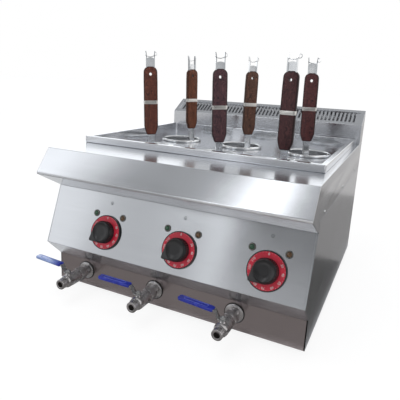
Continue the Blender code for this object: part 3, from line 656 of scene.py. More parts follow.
def lens_look(name, colour):
    """Tinted lens of a lamp that is off."""
    made, tree, shader = new_look(name)
    outputs = place_group(tree, shared_tree("handling", handling_group), Blotch=400.0)
    coloured(tree, shader, outputs["Blotch"], 0.35, 0.65, tinted(colour, 0.6), tinted(colour, 1.3))
    shader.inputs["Roughness"].default_value = 0.12
    shader.inputs["Coat Weight"].default_value = 0.6
    shader.inputs["Coat Roughness"].default_value = 0.04
    bumped(tree, shader, outputs["Fine"], 0.0001, 0.2)
    return made


def shared(name, maker, *values):
    """Return a material by name, made once."""
    return bpy.data.materials.get(name) or maker(name, *values)


def polished():
    """Polished wire and strap steel."""
    return shared("polished_steel", metal_look, (0.86, 0.87, 0.88), bpy.context.scene.cooker_baskets.polish)


def dark_bore():
    """Dark metal inside the spouts, also the painted shade of the screws' slots."""
    return shared("dark_bore", metal_look, (0.22, 0.20, 0.19), 0.55)


def mark_look():
    """White print of the dial."""
    return shared("dial_marks", plastic_look, tuple(bpy.context.scene.cooker_controls.mark), 0.5)


# Geometry node trees


def node_tree(name, sizes):
    """Start a geometry tree that takes and gives geometry, with named sizes."""
    tree = bpy.data.node_groups.new(name, "GeometryNodeTree")
    tree.interface.new_socket(name="Geometry", in_out="OUTPUT", socket_type="NodeSocketGeometry")
    tree.interface.new_socket(name="Geometry", in_out="INPUT", socket_type="NodeSocketGeometry")
    for title, kind, default in sizes:
        socket = tree.interface.new_socket(name=title, in_out="INPUT", socket_type=kind)
        if default is not None:
            socket.default_value = default
    return tree, tree.nodes.new("NodeGroupInput"), tree.nodes.new("NodeGroupOutput")


def end_tree(tree, into, out, geometry):
    """End a tree with plain geometry in one material."""
    plain = add_node(tree, "GeometryNodeRealizeInstances", (("Geometry", geometry),))
    links = (("Geometry", plain.outputs[0]), ("Material", into.outputs["Material"]))
    painted = add_node(tree, "GeometryNodeSetMaterial", links)
    tree.links.new(painted.outputs[0], out.inputs[0])
    return tree


def net_tree():
    """Open every face of a skin to a net."""
    sizes = (("Open Share", "NodeSocketFloat", 0.74), ("Material", "NodeSocketMaterial", None))
    tree, into, out = node_tree("net", sizes)
    links = (("Mesh", into.outputs["Geometry"]), ("Offset Scale", 0.0), ("Individual", True))
    inset = add_node(tree, "GeometryNodeExtrudeMesh", links)
    links = (
        ("Geometry", inset.outputs["Mesh"]),
        ("Selection", inset.outputs["Top"]),
        ("Scale", into.outputs["Open Share"]),
    )
    shrunk = add_node(tree, "GeometryNodeScaleElements", links)
    links = (("Geometry", shrunk.outputs[0]), ("Selection", inset.outputs["Top"]))
    opened = add_node(tree, "GeometryNodeDeleteGeometry", links, domain="FACE")
    return end_tree(tree, into, out, opened.outputs[0])


def around_tree():
    """Small blocks spaced evenly round the Z axis, each lying along it."""
    sizes = (
        ("Count", "NodeSocketInt", 12),
        ("Radius", "NodeSocketFloat", 0.01),
        ("Size", "NodeSocketVector", (0.001, 0.001, 0.001)),
        ("Lift", "NodeSocketFloat", 0.0),
        ("Material", "NodeSocketMaterial", None),
    )
    tree, into, out = node_tree("around", sizes)
    links = (("Vertices", into.outputs["Count"]), ("Radius", into.outputs["Radius"]))
    circle = add_node(tree, "GeometryNodeMeshCircle", links)
    block = add_node(tree, "GeometryNodeMeshCube", (("Size", into.outputs["Size"]),))
    place = add_node(tree, "GeometryNodeInputPosition")
    facing = add_node(tree, "FunctionNodeAlignRotationToVector", (("Vector", place.outputs[0]),), axis="X")
    links = (
        ("Points", circle.outputs[0]),
        ("Instance", block.outputs[0]),
        ("Rotation", facing.outputs[0]),
    )
    spread = add_node(tree, "GeometryNodeInstanceOnPoints", links)
    up = add_node(tree, "ShaderNodeCombineXYZ", (("Z", into.outputs["Lift"]),))
    lifted = add_node(
        tree, "GeometryNodeTransform", (("Geometry", spread.outputs[0]), ("Translation", up.outputs[0]))
    )
    return end_tree(tree, into, out, lifted.outputs[0])


def grow(made, tree, **values):
    """Run a geometry tree on an object and keep the result as a plain mesh."""
    change = made.modifiers.new(tree.name, "NODES")
    change.node_group = tree
    sockets = {item.name: item.identifier for item in tree.interface.items_tree if item.in_out == "INPUT"}
    for title, value in values.items():
        change[sockets[title.replace("_", " ")]] = value
    made.update_tag()
    return made_plain(made)


def blank(name):
    """Empty mesh object for a tree that makes its own geometry."""
    return linked(name, bpy.data.meshes.new(name))


def joined(name, pieces, place=None):
    """Join plain meshes to one object, with its place in its mesh."""
    whole = bmesh.new()
    looks = []
    for piece in pieces:
        if place is not None:
            piece.data.transform(place)
        start = len(whole.faces)
        whole.from_mesh(piece.data)
        whole.faces.ensure_lookup_table()
        own = list(piece.data.materials)
        for look in own:
            if look not in looks:
                looks.append(look)
        for index in range(start, len(whole.faces)):
            face = whole.faces[index]
            face.material_index = looks.index(own[face.material_index]) if own else 0
    mesh = bpy.data.meshes.new(name)
    whole.to_mesh(mesh)
    whole.free()
    for look in looks:
        mesh.materials.append(look)
    smoothed(mesh)
    for piece in pieces:
        bpy.data.objects.remove(piece, do_unlink=True)
    return linked(name, mesh)


# Folded steel sheets


def softened(node, name, look, bend, edge, thin=0.0025):
    """Copy a packed sheet with its folds rounded wide and its cut edges rounded fine."""
    shape = bmesh.new()
    shape.from_mesh(cad[node].data)
    bmesh.ops.remove_doubles(shape, verts=shape.verts, dist=small / 20)
    bmesh.ops.dissolve_limit(shape, angle_limit=math.radians(1.0), verts=shape.verts, edges=shape.edges)
    layer = shape.edges.layers.float.new("bevel_weight_edge")
    for line in shape.edges:
        if len(line.link_faces) != 2 or not line.is_convex:
            continue
        if line.calc_face_angle(0.0) < math.radians(12.0):
            continue
        length = max(line.calc_length(), small)
        narrow = min(face.calc_area() / length for face in line.link_faces)
        line[layer] = 1.0 if narrow > thin else edge / bend
    mesh = bpy.data.meshes.new(name)
    shape.to_mesh(mesh)
    shape.free()
    mesh.materials.append(look)
    mesh.shade_smooth()
    made = linked(name, mesh)
    change = made.modifiers.new("folds", "BEVEL")
    change.width = bend
    change.segments = 4
    change.limit_method = "WEIGHT"
    return flat_faced(made_plain(made))


def screw_place(x, y, z, out):
    """Frame of a screw head that faces out along X, Y or Z."""
    facing = Vector(out)
    up = Vector((0.0, 0.0, 1.0)) if abs(facing.z) < 0.5 else Vector((0.0, 1.0, 0.0))
    right = up.cross(facing)
    return frame_from(right, up, facing, (x, y, z))


def screw_heads(name, places, body="cabinet"):
    """Low domed screws with a crossed slot, painted as dark bars of shade."""
    shape = Shape()
    radius = 0.0032
    for place in places:
        profile = [(0.0, -small), (radius, -small), (radius, 0.0004), (radius * 0.8, 0.0011), (0.0, 0.0014)]
        shape.lathe(profile, place, 0, 20)
        # Each slot is a flat bar in the dark metal over the dome: painted shade where a groove would be.
        for turn in (45.0, 135.0):
            outline = box_outline(radius * 0.55, -0.0003, 0.0003)
            shape.prism(outline, 0.001, 0.00145, place @ turned_by(turn), 1)
    return settle(shape.piece(name, (polished(), dark_bore())), body, "brushed_steel")


class COOKER_OT_sheets(bpy.types.Operator):
    """Round the folds and edges of the cabinet's steel sheets and brush them"""

    bl_idname = "cooker.sheets"
    bl_label = "Steel sheets"

    def execute(self, context):
        settings = context.scene.cooker_sheets
        steel = tuple(settings.steel)
        across = steel_look("brushed_across", steel, settings.roughness, settings.grain, "X")
        along = steel_look("brushed_side", steel, settings.roughness + 0.05, settings.grain * 0.6, "Y")
        # Darker warm copy of the steel for the apron: a painted reflection of a brownish floor.
        apron_reflection_tint = tuple(settings.apron)
        apron = steel_look("brushed_apron_painted_reflection", apron_reflection_tint, settings.roughness + 0.02, settings.grain * 0.8, "X")
        # Lighter copy of the steel for the basin rim and deck: painted light standing for their bright
        # reflections.
        basin_painted_light = steel_look("basin_steel_painted_light", tinted(steel, 1.15), 0.15, 0.45, "X")
        inside = steel_look("drawn_steel", tinted(steel, 0.9), 0.33, 0.2, "Z", 500.0)
        for node, look in (
            ("worktop", across),
            ("basin_rim", basin_painted_light),
            ("flue_riser", across),
            ("control_panel", across),
        ):
            bend = settings.bend if node != "basin_rim" else settings.bend * 0.6
            made = softened(node, "dressed_" + node, look, bend, settings.edge)
            settle(made, "cabinet", "brushed_steel", node)
        repaint(("front_apron",), apron)
        repaint(("left_side_panel", "right_side_panel"), along)
        repaint(("back_panel", "base_pan", "flue_grille"), across)
        repaint(("basket_deck",), basin_painted_light)
        repaint(["tank_" + column for column in columns], inside)
        return {"FINISHED"}


def row_tree():
    """Equal blocks in a row along X, each turned about Y."""
    sizes = (
        ("Count", "NodeSocketInt", 12),
        ("Pitch", "NodeSocketFloat", 0.01),
        ("Size", "NodeSocketVector", (0.001, 0.001, 0.001)),
        ("Turn", "NodeSocketFloat", 0.0),
        ("Material", "NodeSocketMaterial", None),
    )
    tree, into, out = node_tree("row", sizes)
    step = add_node(tree, "ShaderNodeCombineXYZ", (("X", into.outputs["Pitch"]),))
    links = (("Count", into.outputs["Count"]), ("Offset", step.outputs[0]))
    line = add_node(tree, "GeometryNodeMeshLine", links)
    block = add_node(tree, "GeometryNodeMeshCube", (("Size", into.outputs["Size"]),))
    turn = add_node(tree, "ShaderNodeCombineXYZ", (("Y", into.outputs["Turn"]),))
    links = (("Points", line.outputs[0]), ("Instance", block.outputs[0]), ("Rotation", turn.outputs[0]))
    spread = add_node(tree, "GeometryNodeInstanceOnPoints", links)
    return end_tree(tree, into, out, spread.outputs[0])


class COOKER_OT_grille(bpy.types.Operator):
    """Press the lips under the grille's slots"""

    bl_idname = "cooker.grille"
    bl_label = "Grille lips"

    def execute(self, context):
        low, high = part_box("flue_grille")
        margin = 0.012
        count = 50
        slope = (high - low)
        slope.x = 0.0
        along = slope.normalized()
        right = Vector((1.0, 0.0, 0.0))
        out = right.cross(along)
        pitch = (high.x - low.x - 2.0 * margin) / count
        middle = (low + high) / 2
        length = slope.length - 2.0 * margin
        lips = grow(
            blank("lips"), shared_tree("row", row_tree), Count=count - 1, Pitch=pitch,
            Size=(0.0007, length, 0.006), Turn=math.radians(-28.0),
            Material=bpy.data.materials["brushed_across"],
        )
        start = Vector((low.x + margin + pitch, middle.y, middle.z)) - out * 0.0048
        lips.data.transform(frame_from(right, along, out, start))
        made = joined("grille_lips", [lips])
        settle(made, "cabinet", "brushed_steel")
        return {"FINISHED"}


class COOKER_OT_screws(bpy.types.Operator):
    """Put the screws into the sides and the back"""

    bl_idname = "cooker.screws"
    bl_label = "Screws"

    def execute(self, context):
        low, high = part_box("worktop")
        back_low, back_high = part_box("back_panel")
        places = []
        inset = 0.012
        for side in (-1, 1):
            edge = high.x * side
            for y in (-0.235, 0.0, 0.235):
                places.append(screw_place(edge, y, seam_height + inset * 0.7, (side, 0.0, 0.0)))
        rise = (back_high.z - back_low.z) / 3
        for side in (-1, 1):
            for step in range(4):
                height = back_low.z + inset + step * (rise - inset * 0.67)
                places.append(screw_place(side * (back_high.x - inset), back_high.y, height, (0.0, 1.0, 0.0)))
        for x in (-0.1, 0.1):
            places.append(screw_place(x, back_high.y, back_high.z - inset, (0.0, 1.0, 0.0)))
        screw_heads("cabinet_screws", places)
        return {"FINISHED"}


# Baskets, straps, forks and grips


def basket_frame(index):
    """Frame on a basket's centre line at its seat."""
    low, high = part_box("basket_deck")
    pitch = 0.188
    x = pitch * (index % len(columns) - 1)
    middle = (low.y + high.y) / 2
    y = middle + 0.184 * (index // len(columns) - 0.5)
    return at(x, y, lip_bottom)


def handle_frame(index):
    """Frame at one handle's foot: Y points out of the basket, Z up the handle."""
    foot = basket_frame(index) @ turned_by(handle_turn_deg[index] + 180.0) @ at(0.0, strap_distance, 0.0)
    spot = at(*foot.to_translation())
    return spot @ turned_by(handle_lean_deg[index], "Y") @ spot.inverted() @ foot


def cup_skin(name, place):
    """Skin of one cup, its faces the cells of the net."""
    middle = basket_radius - 0.001
    floor = basket_bottom - lip_bottom + 0.001
    profile = [(0.012, 0.0), (0.020, 0.0), (0.028, 0.0), (0.036, 0.0), (0.0435, 0.0), (0.0485, 0.0022)]
    profile += [(middle, 0.0075)]
    rows = 23
    height = -floor - 0.0075
    profile += [(middle, 0.0075 + height * step / rows) for step in range(1, rows + 1)]
    sides = 60
    points = []
    for radius, rise in profile:
        for index in range(sides):
            angle = math.tau * index / sides
            points.append(place @ Vector((radius * math.cos(angle), radius * math.sin(angle), floor + rise)))
    faces = []
    for level in range(len(profile) - 1):
        for index in range(sides):
            after = (index + 1) % sides
            first = level * sides
            second = first + sides
            faces.append((first + index, first + after, second + after, second + index))
    return add_object(name, points, faces)


def strap_pieces(shape, index):
    """Channel strap from the ring to the grip, and the fork above it."""
    place = handle_frame(index)
    half = strap_half_width
    web = 0.0012
    flange = 0.0045
    channel = [
        (-half, web / 2 - flange), (-half, web / 2), (half, web / 2), (half, web / 2 - flange),
        (half - web, web / 2 - flange), (half - web, -web / 2),
        (web - half, -web / 2), (web - half, web / 2 - flange),
    ]
    shape.prism([(x, -y) for x, y in channel], 0.0006, grip_foot + 0.003, place)
    upright = place @ Matrix.Rotation(math.radians(90.0), 4, "X")
    steps = 10
    wide = fork_half_width - 0.0011
    neck = grip_head - 0.006
    crown = grip_head + web_rise[index]
    outline = [(-wide, neck), (wide, neck)]
    for step in range(steps + 1):
        share = step / steps * 2.0 - 1.0
        outline.append((-share * wide, crown - 0.0035 * share * share))
    shape.prism(outline, -0.0008, 0.0008, upright)
    deep = 0.0045
    thick = 0.0011
    for side in (-1, 1):
        path = [
            (0.0, grip_head - 0.010), (0.0, grip_head + 0.022),
            (0.0006, grip_head + 0.030), (0.0013, grip_head + 0.0362),
        ]
        points = []
        for share, (lean, rise) in zip((1.0, 1.0, 0.85, 0.55), path):
            for dx, dy in ((-1, -1), (1, -1), (1, 1), (-1, 1)):
                x = side * (fork_half_width - thick) + dx * thick
                y = -deep + (dy + 1.0) * deep * share
                points.append(place @ Vector((x - side * 0.0013 + side * lean, y, rise)))
        faces = [(0, 1, 2, 3), (12, 13, 14, 15)]
        for level in range(3):
            first = level * 4
            for step in range(4):
                after = (step + 1) % 4
                faces.append((first + step, first + after, first + 4 + after, first + 4 + step))
        shape.add(points, faces)
    radius = bpy.context.scene.cooker_baskets.hook_wire
    wire = []
    reach = fork_half_width
    for step in range(13):
        share = step / 12
        x = -reach + 2.0 * reach * share
        sag = 0.0042 * math.sin(math.pi * share)
        wire.append(place @ Vector((x, -0.001 - 0.002 * share, grip_head + 0.0268 - sag)))
    shape.tube(wire, radius, sides=8)
    curl = []
    for step in range(15):
        angle = math.radians(-150.0 + 250.0 * step / 14)
        x = -reach - 0.0005 - 0.0042 * math.cos(angle)
        z = grip_head + 0.0300 + 0.0042 * math.sin(angle)
        curl.append(place @ Vector((x, -0.002 - 0.0004 * step, z)))
    shape.tube(curl, radius, sides=8)


class COOKER_OT_baskets(bpy.types.Operator):
    """Weave the baskets and bend their rings, straps and forks"""

    bl_idname = "cooker.baskets"
    bl_label = "Baskets"

    def execute(self, context):
        settings = context.scene.cooker_baskets
        wire = polished()
        mesh_look = shared("net_steel", metal_look, (0.86, 0.87, 0.90), 0.42)
        for index, name in enumerate(basket_names):
            place = basket_frame(index)
            skin = cup_skin("skin", place)
            net = shared_tree("net", net_tree)
            grow(skin, net, Open_Share=settings.net_open, Material=mesh_look)
            solid = skin.modifiers.new("wall", "SOLIDIFY")
            solid.thickness = settings.net_wall
            solid.offset = 0.0
            made_plain(skin)
            shape = Shape()
            outer = lip_radius - settings.ring
            shape.tube(ring_path(outer, settings.ring + small, place), settings.ring, closed=True, sides=12)
            thin = settings.inner_ring
            inner = basket_radius - thin
            shape.tube(ring_path(inner, 0.0056 - thin, place), thin, closed=True)
            band = [(basket_radius - 0.0016, -0.004), (basket_radius - 0.0004, -0.004)]
            band += [(basket_radius + 0.0006, 0.0022), (outer, 0.0030)]
            band += [(outer, 0.0040), (basket_radius - 0.0014, 0.0036)]
            shape.lathe(band, place, 0, 64, closed=True)
            hub = [(0.0, 0.0003), (0.0125, 0.0003), (0.0125, 0.0017), (0.0, 0.0017)]
            shape.lathe(hub, place @ at(0.0, 0.0, basket_bottom - lip_bottom), 0, 32)
            strap_pieces(shape, index)
            made = joined("dressed_basket_" + name, [skin, shape.piece("frame", (wire,))])
            body = name + "_basket"
            settle(made, body, "brushed_steel", "basket_" + name)
        return {"FINISHED"}


def grip_outline():
    """Grip seen from the front: narrow toe, swelling sides and round shoulders."""
    half = 0.0172
    toe = 0.0100
    radius = 0.0135
    low = grip_foot
    high = grip_head
    points = corner((toe - 0.002, low + 0.004), 0.004, -90.0, -20.0, 3)
    points += [(half - 0.0012, low + 0.0145), (half, low + 0.022)]
    points += [(half, high - radius - 0.02), (half - 0.0004, high - radius)]
    points += corner((half - radius, high - radius), radius - 0.0004, 4.0, 86.0, 7)
    return points + [(-x, y) for x, y in reversed(points)]


class COOKER_OT_grips(bpy.types.Operator):
    """Carve the wooden grips with their bands and hanging holes"""

    bl_idname = "cooker.grips"
    bl_label = "Grips"

    def execute(self, context):
        settings = context.scene.cooker_grips
        band_look = shared("band_steel", metal_look, (0.62, 0.60, 0.57), 0.32)
        # Per-grip tints of the wood tone; the third grip's dark grey tint is painted shade.
        wood_tints_and_shade = (
            (1.0, 1.0, 1.0), (0.66, 0.98, 1.75), (0.42, 0.46, 0.75),
            (1.15, 1.25, 0.9), (1.0, 1.55, 1.6), (0.66, 0.72, 1.1),
        )
        for index, name in enumerate(basket_names):
            place = handle_frame(index)
            upright = place @ Matrix.Rotation(math.radians(90.0), 4, "X")
            tone = wood_tints_and_shade[index]
            dark = tuple(value * share for value, share in zip(settings.dark, tone))
            light = tuple(value * share for value, share in zip(settings.light, tone))
            wood = timber_look("timber_" + name, dark, light, (0.31 * index, 0.17 * index, 0.07 * index))
            shape = Shape()
            shape.prism(grip_outline(), -0.0059, 0.0059, upright)
            # Darker copy of the wood for the rounded edges: painted shade along the grip's sides.
            painted_edge_shade_dark = tinted(dark, settings.edge_shade)
            painted_edge_shade_light = tinted(light, settings.edge_shade)
            painted_edge_shade_look = timber_look("painted_edge_shade_" + name, painted_edge_shade_dark, painted_edge_shade_light, (0.0, 0.0, 0.0))
            made = rounded(shape.piece("timber", (wood, painted_edge_shade_look)), settings.edge, 5, 40.0)
            # Faces turned away from the grip's flat faces take the painted edge shade.
            facing = place.to_3x3() @ Vector((0.0, 1.0, 0.0))
            for face in made.data.polygons:
                face.material_index = int(abs(face.normal.dot(facing)) < 0.9)
            drill = Shape()
            high = grip_head - settings.hole_drop
            bore = [(0.0, -0.02), (settings.hole, -0.02), (settings.hole, 0.02), (0.0, 0.02)]
            drill.lathe(bore, upright @ at(0.0, high, 0.0), 0, 24)
            cut(made, [drill.piece("drill", (wood,))])
            band = Shape()
            band_low = 0.1173
            half = 0.01745
            deep = 0.0063
            ring = round_box(-half, half, deep, 0.0040, 5)
            band.prism(ring, band_low, band_low + settings.band, place)
            strip = rounded(band.piece("band", (band_look,)), 0.0005, 2)
            whole = joined("dressed_grip_" + name, [made, strip])
            settle(whole, name + "_basket", "grip_wood", "grip_" + name)
        return {"FINISHED"}


# Knobs and lamps


def knob_frame(column):
    """Frame on the panel under one knob: X across, Y up the slope, Z out."""
    joint = joints[column + "_knob_turn"]
    out = -Vector(joint["axis"]).normalized()
    right = Vector((1.0, 0.0, 0.0))
    return frame_from(right, out.cross(right), out, joint["pos_m"])


def lettering(text, size, place, depth=0.00015):
    """Digits as a flat mesh, centred on a place."""
    curve = bpy.data.curves.new("digits", "FONT")
    curve.body = text
    curve.size = size
    curve.align_x = "CENTER"
    curve.align_y = "CENTER"
    curve.extrude = depth
    curve.resolution_u = 3
    holder = linked("digits", curve)
    bpy.context.view_layer.update()
    graph = bpy.context.evaluated_depsgraph_get()
    mesh = bpy.data.meshes.new_from_object(holder.evaluated_get(graph))
    bpy.data.objects.remove(holder, do_unlink=True)
    mesh.materials.clear()
    mesh.materials.append(mark_look())
    mesh.transform(place)
    return linked("digits", mesh)


class COOKER_OT_knobs(bpy.types.Operator):
    """Turn the knobs with their numbered dials"""

    bl_idname = "cooker.knobs"
    bl_label = "Knobs"

    def execute(self, context):
        settings = context.scene.cooker_controls
        black = plastic_look("knob_plastic", tuple(settings.cap), 0.34, 0.25, 0.2)
        red = plastic_look("dial_enamel", tuple(settings.dial), 0.35, 0.3, 0.12)
        around = shared_tree("around", around_tree)
        for column in columns:
            place = knob_frame(column)
            shape = Shape()
            bore = shaft_radius
            edge = dial_radius
            profile = [
                (bore, dial_lift), (edge - 0.0008, dial_lift), (edge, dial_lift + 0.0008),
                (edge, dial_face - 0.001), (edge - 0.0006, dial_face - 0.0003),
                (edge - 0.0016, dial_face - 0.0003),
            ]
            shape.lathe(profile + [(bore, dial_face - 0.0003)], place, 0, 96, closed=True)
            ring = [(cap_radius - 0.001, dial_face - 0.001), (edge - 0.0022, dial_face - 0.001)]
            ring += [(edge - 0.0022, dial_face), (edge - 0.0028, dial_face + 0.0002)]
            ring += [(cap_radius - 0.001, dial_face + 0.0002)]
            shape.lathe(ring, place, 1, 96, closed=True)
            top = cap_top
            cap = [
                (bore, dial_face), (cap_radius - 0.0008, dial_face),
                (cap_radius - 0.0008, dial_face + 0.0015),
                (cap_radius - 0.0012, dial_face + 0.002), (cap_radius - 0.0026, top - 0.0035),
                (cap_radius - 0.0034, top - 0.0014), (cap_radius - 0.0052, top - 0.0005),
                (cap_radius - 0.0058, top - 0.0012),
                (0.009, top - 0.0012), (0.0, top - 0.0010), (0.0, shaft_end), (bore, shaft_end),
            ]
            shape.lathe(cap, place, 0, 96, closed=True)
            base = shape.piece("base", (black, red))
            flutes = grow(
                blank("flutes"), around, Count=settings.flutes, Radius=cap_radius - 0.0016,
                Size=(0.0012, 0.0016, 0.0125), Lift=dial_face + 0.0078, Material=black,
            )
            flutes.data.transform(place)
            turn = turned_by(219.0)
            pointer = Shape()
            outline = [
                (0.004, -0.0222), (0.0160, -0.0170), (0.0335, -0.0034), (0.0360, 0.0), (0.0335, 0.0034),
                (0.0160, 0.0170), (0.004, 0.0222),
            ]
            pointer.prism(outline, dial_face - 0.0005, top - 0.0035, place @ turn)
            wedge = rounded(pointer.piece("pointer", (black,)), 0.0012, 3)
            parts = [base, flutes, wedge]
            values = ("0", "30", "40", "50", "60", "70", "80", "90", "100", "110")
            for number, value in enumerate(values):
                angle = 90.0 - 30.0 * number - (30.0 if number else 0.0)
                spot = place @ turned_by(angle - 90.0) @ at(0.0, 0.0312, dial_face + 0.0003)
                parts.append(lettering(value, 0.0066, spot))
            ticks = grow(
                blank("ticks"), around, Count=36, Radius=0.0348,
                Size=(0.0012, 0.00035, 0.0002), Lift=dial_face + 0.0003, Material=mark_look(),
            )
            ticks.data.transform(place)
            made = joined("dressed_knob_" + column, parts + [ticks])
            settle(made, column + "_knob", "knob_black", "knob_" + column)
        return {"FINISHED"}


class COOKER_OT_lamps(bpy.types.Operator):
    """Fit the lamps and print the small marks over the knobs"""

    bl_idname = "cooker.lamps"
    bl_label = "Lamps"

    def execute(self, context):
        settings = context.scene.cooker_controls
        bezel = shared("bezel_metal", metal_look, (0.20, 0.195, 0.18), 0.3)
        lenses = {
            "power": (-1, "lamp_green", lens_look("green_lens", tuple(settings.green))),
            "heat": (1, "lamp_amber", lens_look("amber_lens", tuple(settings.amber))),
        }
        angle = math.radians(lamp_turn_deg)
        for column in columns:
            for kind, (side, slot, lens) in lenses.items():
                spot = at(side * lamp_distance * math.sin(angle), lamp_distance * math.cos(angle), 0.0)
                place = knob_frame(column) @ spot
                shape = Shape()
                out = bezel_radius
                rim = [
                    (lamp_radius - 0.0004, 0.0003), (out - 0.0003, 0.0003), (out, 0.0006),
                    (out - 0.0004, 0.0016),
                    (out - 0.0010, 0.0020), (lamp_radius - 0.0002, 0.0020), (lamp_radius - 0.0008, 0.0012),
                ]
                shape.lathe(rim, place, 0, 40, closed=True)
                dome = [(0.0, -0.018), (lamp_radius - 0.0003, -0.018), (lamp_radius - 0.0003, 0.0012)]
                for step in range(1, 6):
                    turn = math.radians(90.0 * step / 5)
                    dome.append(((lamp_radius - 0.0004) * math.cos(turn), 0.0012 + 0.0022 * math.sin(turn)))
                dome[-1] = (0.0, 0.0034)
                shape.lathe(dome, place, 1, 40)
                made = shape.piece(f"dressed_lamp_{kind}_{column}", (bezel, lens))
                settle(made, "cabinet", slot, f"lamp_{kind}_{column}")
            mark = Shape()
            spot = knob_frame(column) @ at(0.0, 0.0655, 0.0)
            mark.tube(ring_path(0.0030, 0.00008, spot, 24), 0.00045, closed=True, sides=6)
            mark.prism(box_outline(0.0005, -0.0036, 0.0008), -small / 2, small / 2, spot)
            grey = shared("mark_grey", plastic_look, (0.16, 0.18, 0.18), 0.5)
            made = mark.piece("panel_mark_" + column, (grey,))
            settle(made, "cabinet", "brushed_steel")
        return {"FINISHED"}


# Valves, levers and sleeves


def lever_frame(column):
    """Frame on a valve's stem, X along the lever's heel."""
    joint = joints[column + "_lever_turn"]
    turn = {"left": -5.0, "middle": 0.0, "right": -6.0}[column]
    return at(*joint["pos_m"]) @ turned_by(turn)


def valve_frame(column):
    """Frame of a valve: Z forward out of the apron, Y up."""
    x = joints[column + "_lever_turn"]["pos_m"][0]
    return frame_from((1.0, 0.0, 0.0), (0.0, 0.0, 1.0), (0.0, -1.0, 0.0), (x, apron_y, valve_height))


def hexagon(radius, turn_deg=0.0):
    """Outline of a hexagon by its corners."""
    steps = [math.radians(turn_deg + 60.0 * index) for index in range(6)]
    return [(radius * math.cos(a), radius * math.sin(a)) for a in steps]


class COOKER_OT_valves(bpy.types.Operator):
    """Turn the drain valves with flange, nuts, body and ribbed spout"""

    bl_idname = "cooker.valves"
    bl_label = "Valves"

    def execute(self, context):
        settings = context.scene.cooker_drains
        metal = metal_look("valve_plate", tuple(settings.metal), 0.27, 0.28, 300.0)
        cast = metal_look("valve_cast", tinted(settings.metal, 0.85), 0.34, 0.25, 700.0)
        rubber = shared("gasket_rubber", plastic_look, (0.022, 0.021, 0.021), 0.6)
        bore = dark_bore()
        for column in columns:
            place = valve_frame(column)
            shape = Shape()
            wide = flange_radius
            inner = 0.0103
            washer = [(inner, 0.0004), (wide, 0.0004), (wide, 0.0016), (inner, 0.0016)]
            shape.lathe(washer, place, 3, 64, closed=True)
            rim = wide - settings.gasket
            flange = [
                (inner, 0.0016), (rim, 0.0016), (rim, 0.0022), (rim - 0.0008, 0.0030), (0.0150, 0.0030),
                (0.0142, 0.0034), (0.0122, 0.0036), (0.0122, 0.0160), (0.0122, 0.0300), (0.0140, 0.0320),
                (0.0145, 0.0345), (0.0145, 0.0700), (0.0140, 0.0735), (0.0115, 0.0762), (0.0111, 0.0770),
            ]
            spout_start = 0.0770
            spout_end = 0.0928
            count = settings.ribs
            pitch = (spout_end - spout_start) / max(count, 1)
            for step in range(count):
                start = spout_start + pitch * step
                flange += [
                    (0.0109, start + pitch * 0.15), (0.0114, start + pitch * 0.35),
                    (0.0114, start + pitch * 0.70), (0.0109, start + pitch * 0.90),
                ]
            flange += [(0.0108, spout_end), (0.0100, 0.0929), (0.0068, 0.0929)]
            shape.lathe(flange + [(0.0065, 0.0925)], place, 0, 64)
            shape.lathe([(0.0065, 0.0925), (0.0065, 0.0752), (0.0, 0.0752)], place, 2, 64)
            valve = shape.piece("valve", (metal, cast, bore, rubber))
            nuts = Shape()
            nuts.prism(hexagon(0.0164), 0.0165, 0.0335, place, 0)
            nuts.prism(hexagon(0.0136, 30.0), 0.0765, 0.0800, place, 0)
            nut = rounded(nuts.piece("nuts", (cast,)), 0.0009, 3)
            upright = lever_frame(column)
            tower = Shape()
            boss = [
                (0.0, 0.0), (0.0070, 0.0), (0.0070, 0.0128), (0.0062, 0.0138), (0.0060, 0.0166),
                (0.0054, 0.0170), (0.0033, 0.0170), (0.0033, 0.0112), (0.0, 0.0112),
            ]
            tower.lathe(boss, upright, 0, 40)
            made = joined("dressed_valve_" + column, [valve, nut, tower.piece("tower", (metal,))])
            settle(made, "cabinet", "valve_steel", "drain_valve_" + column)
        return {"FINISHED"}


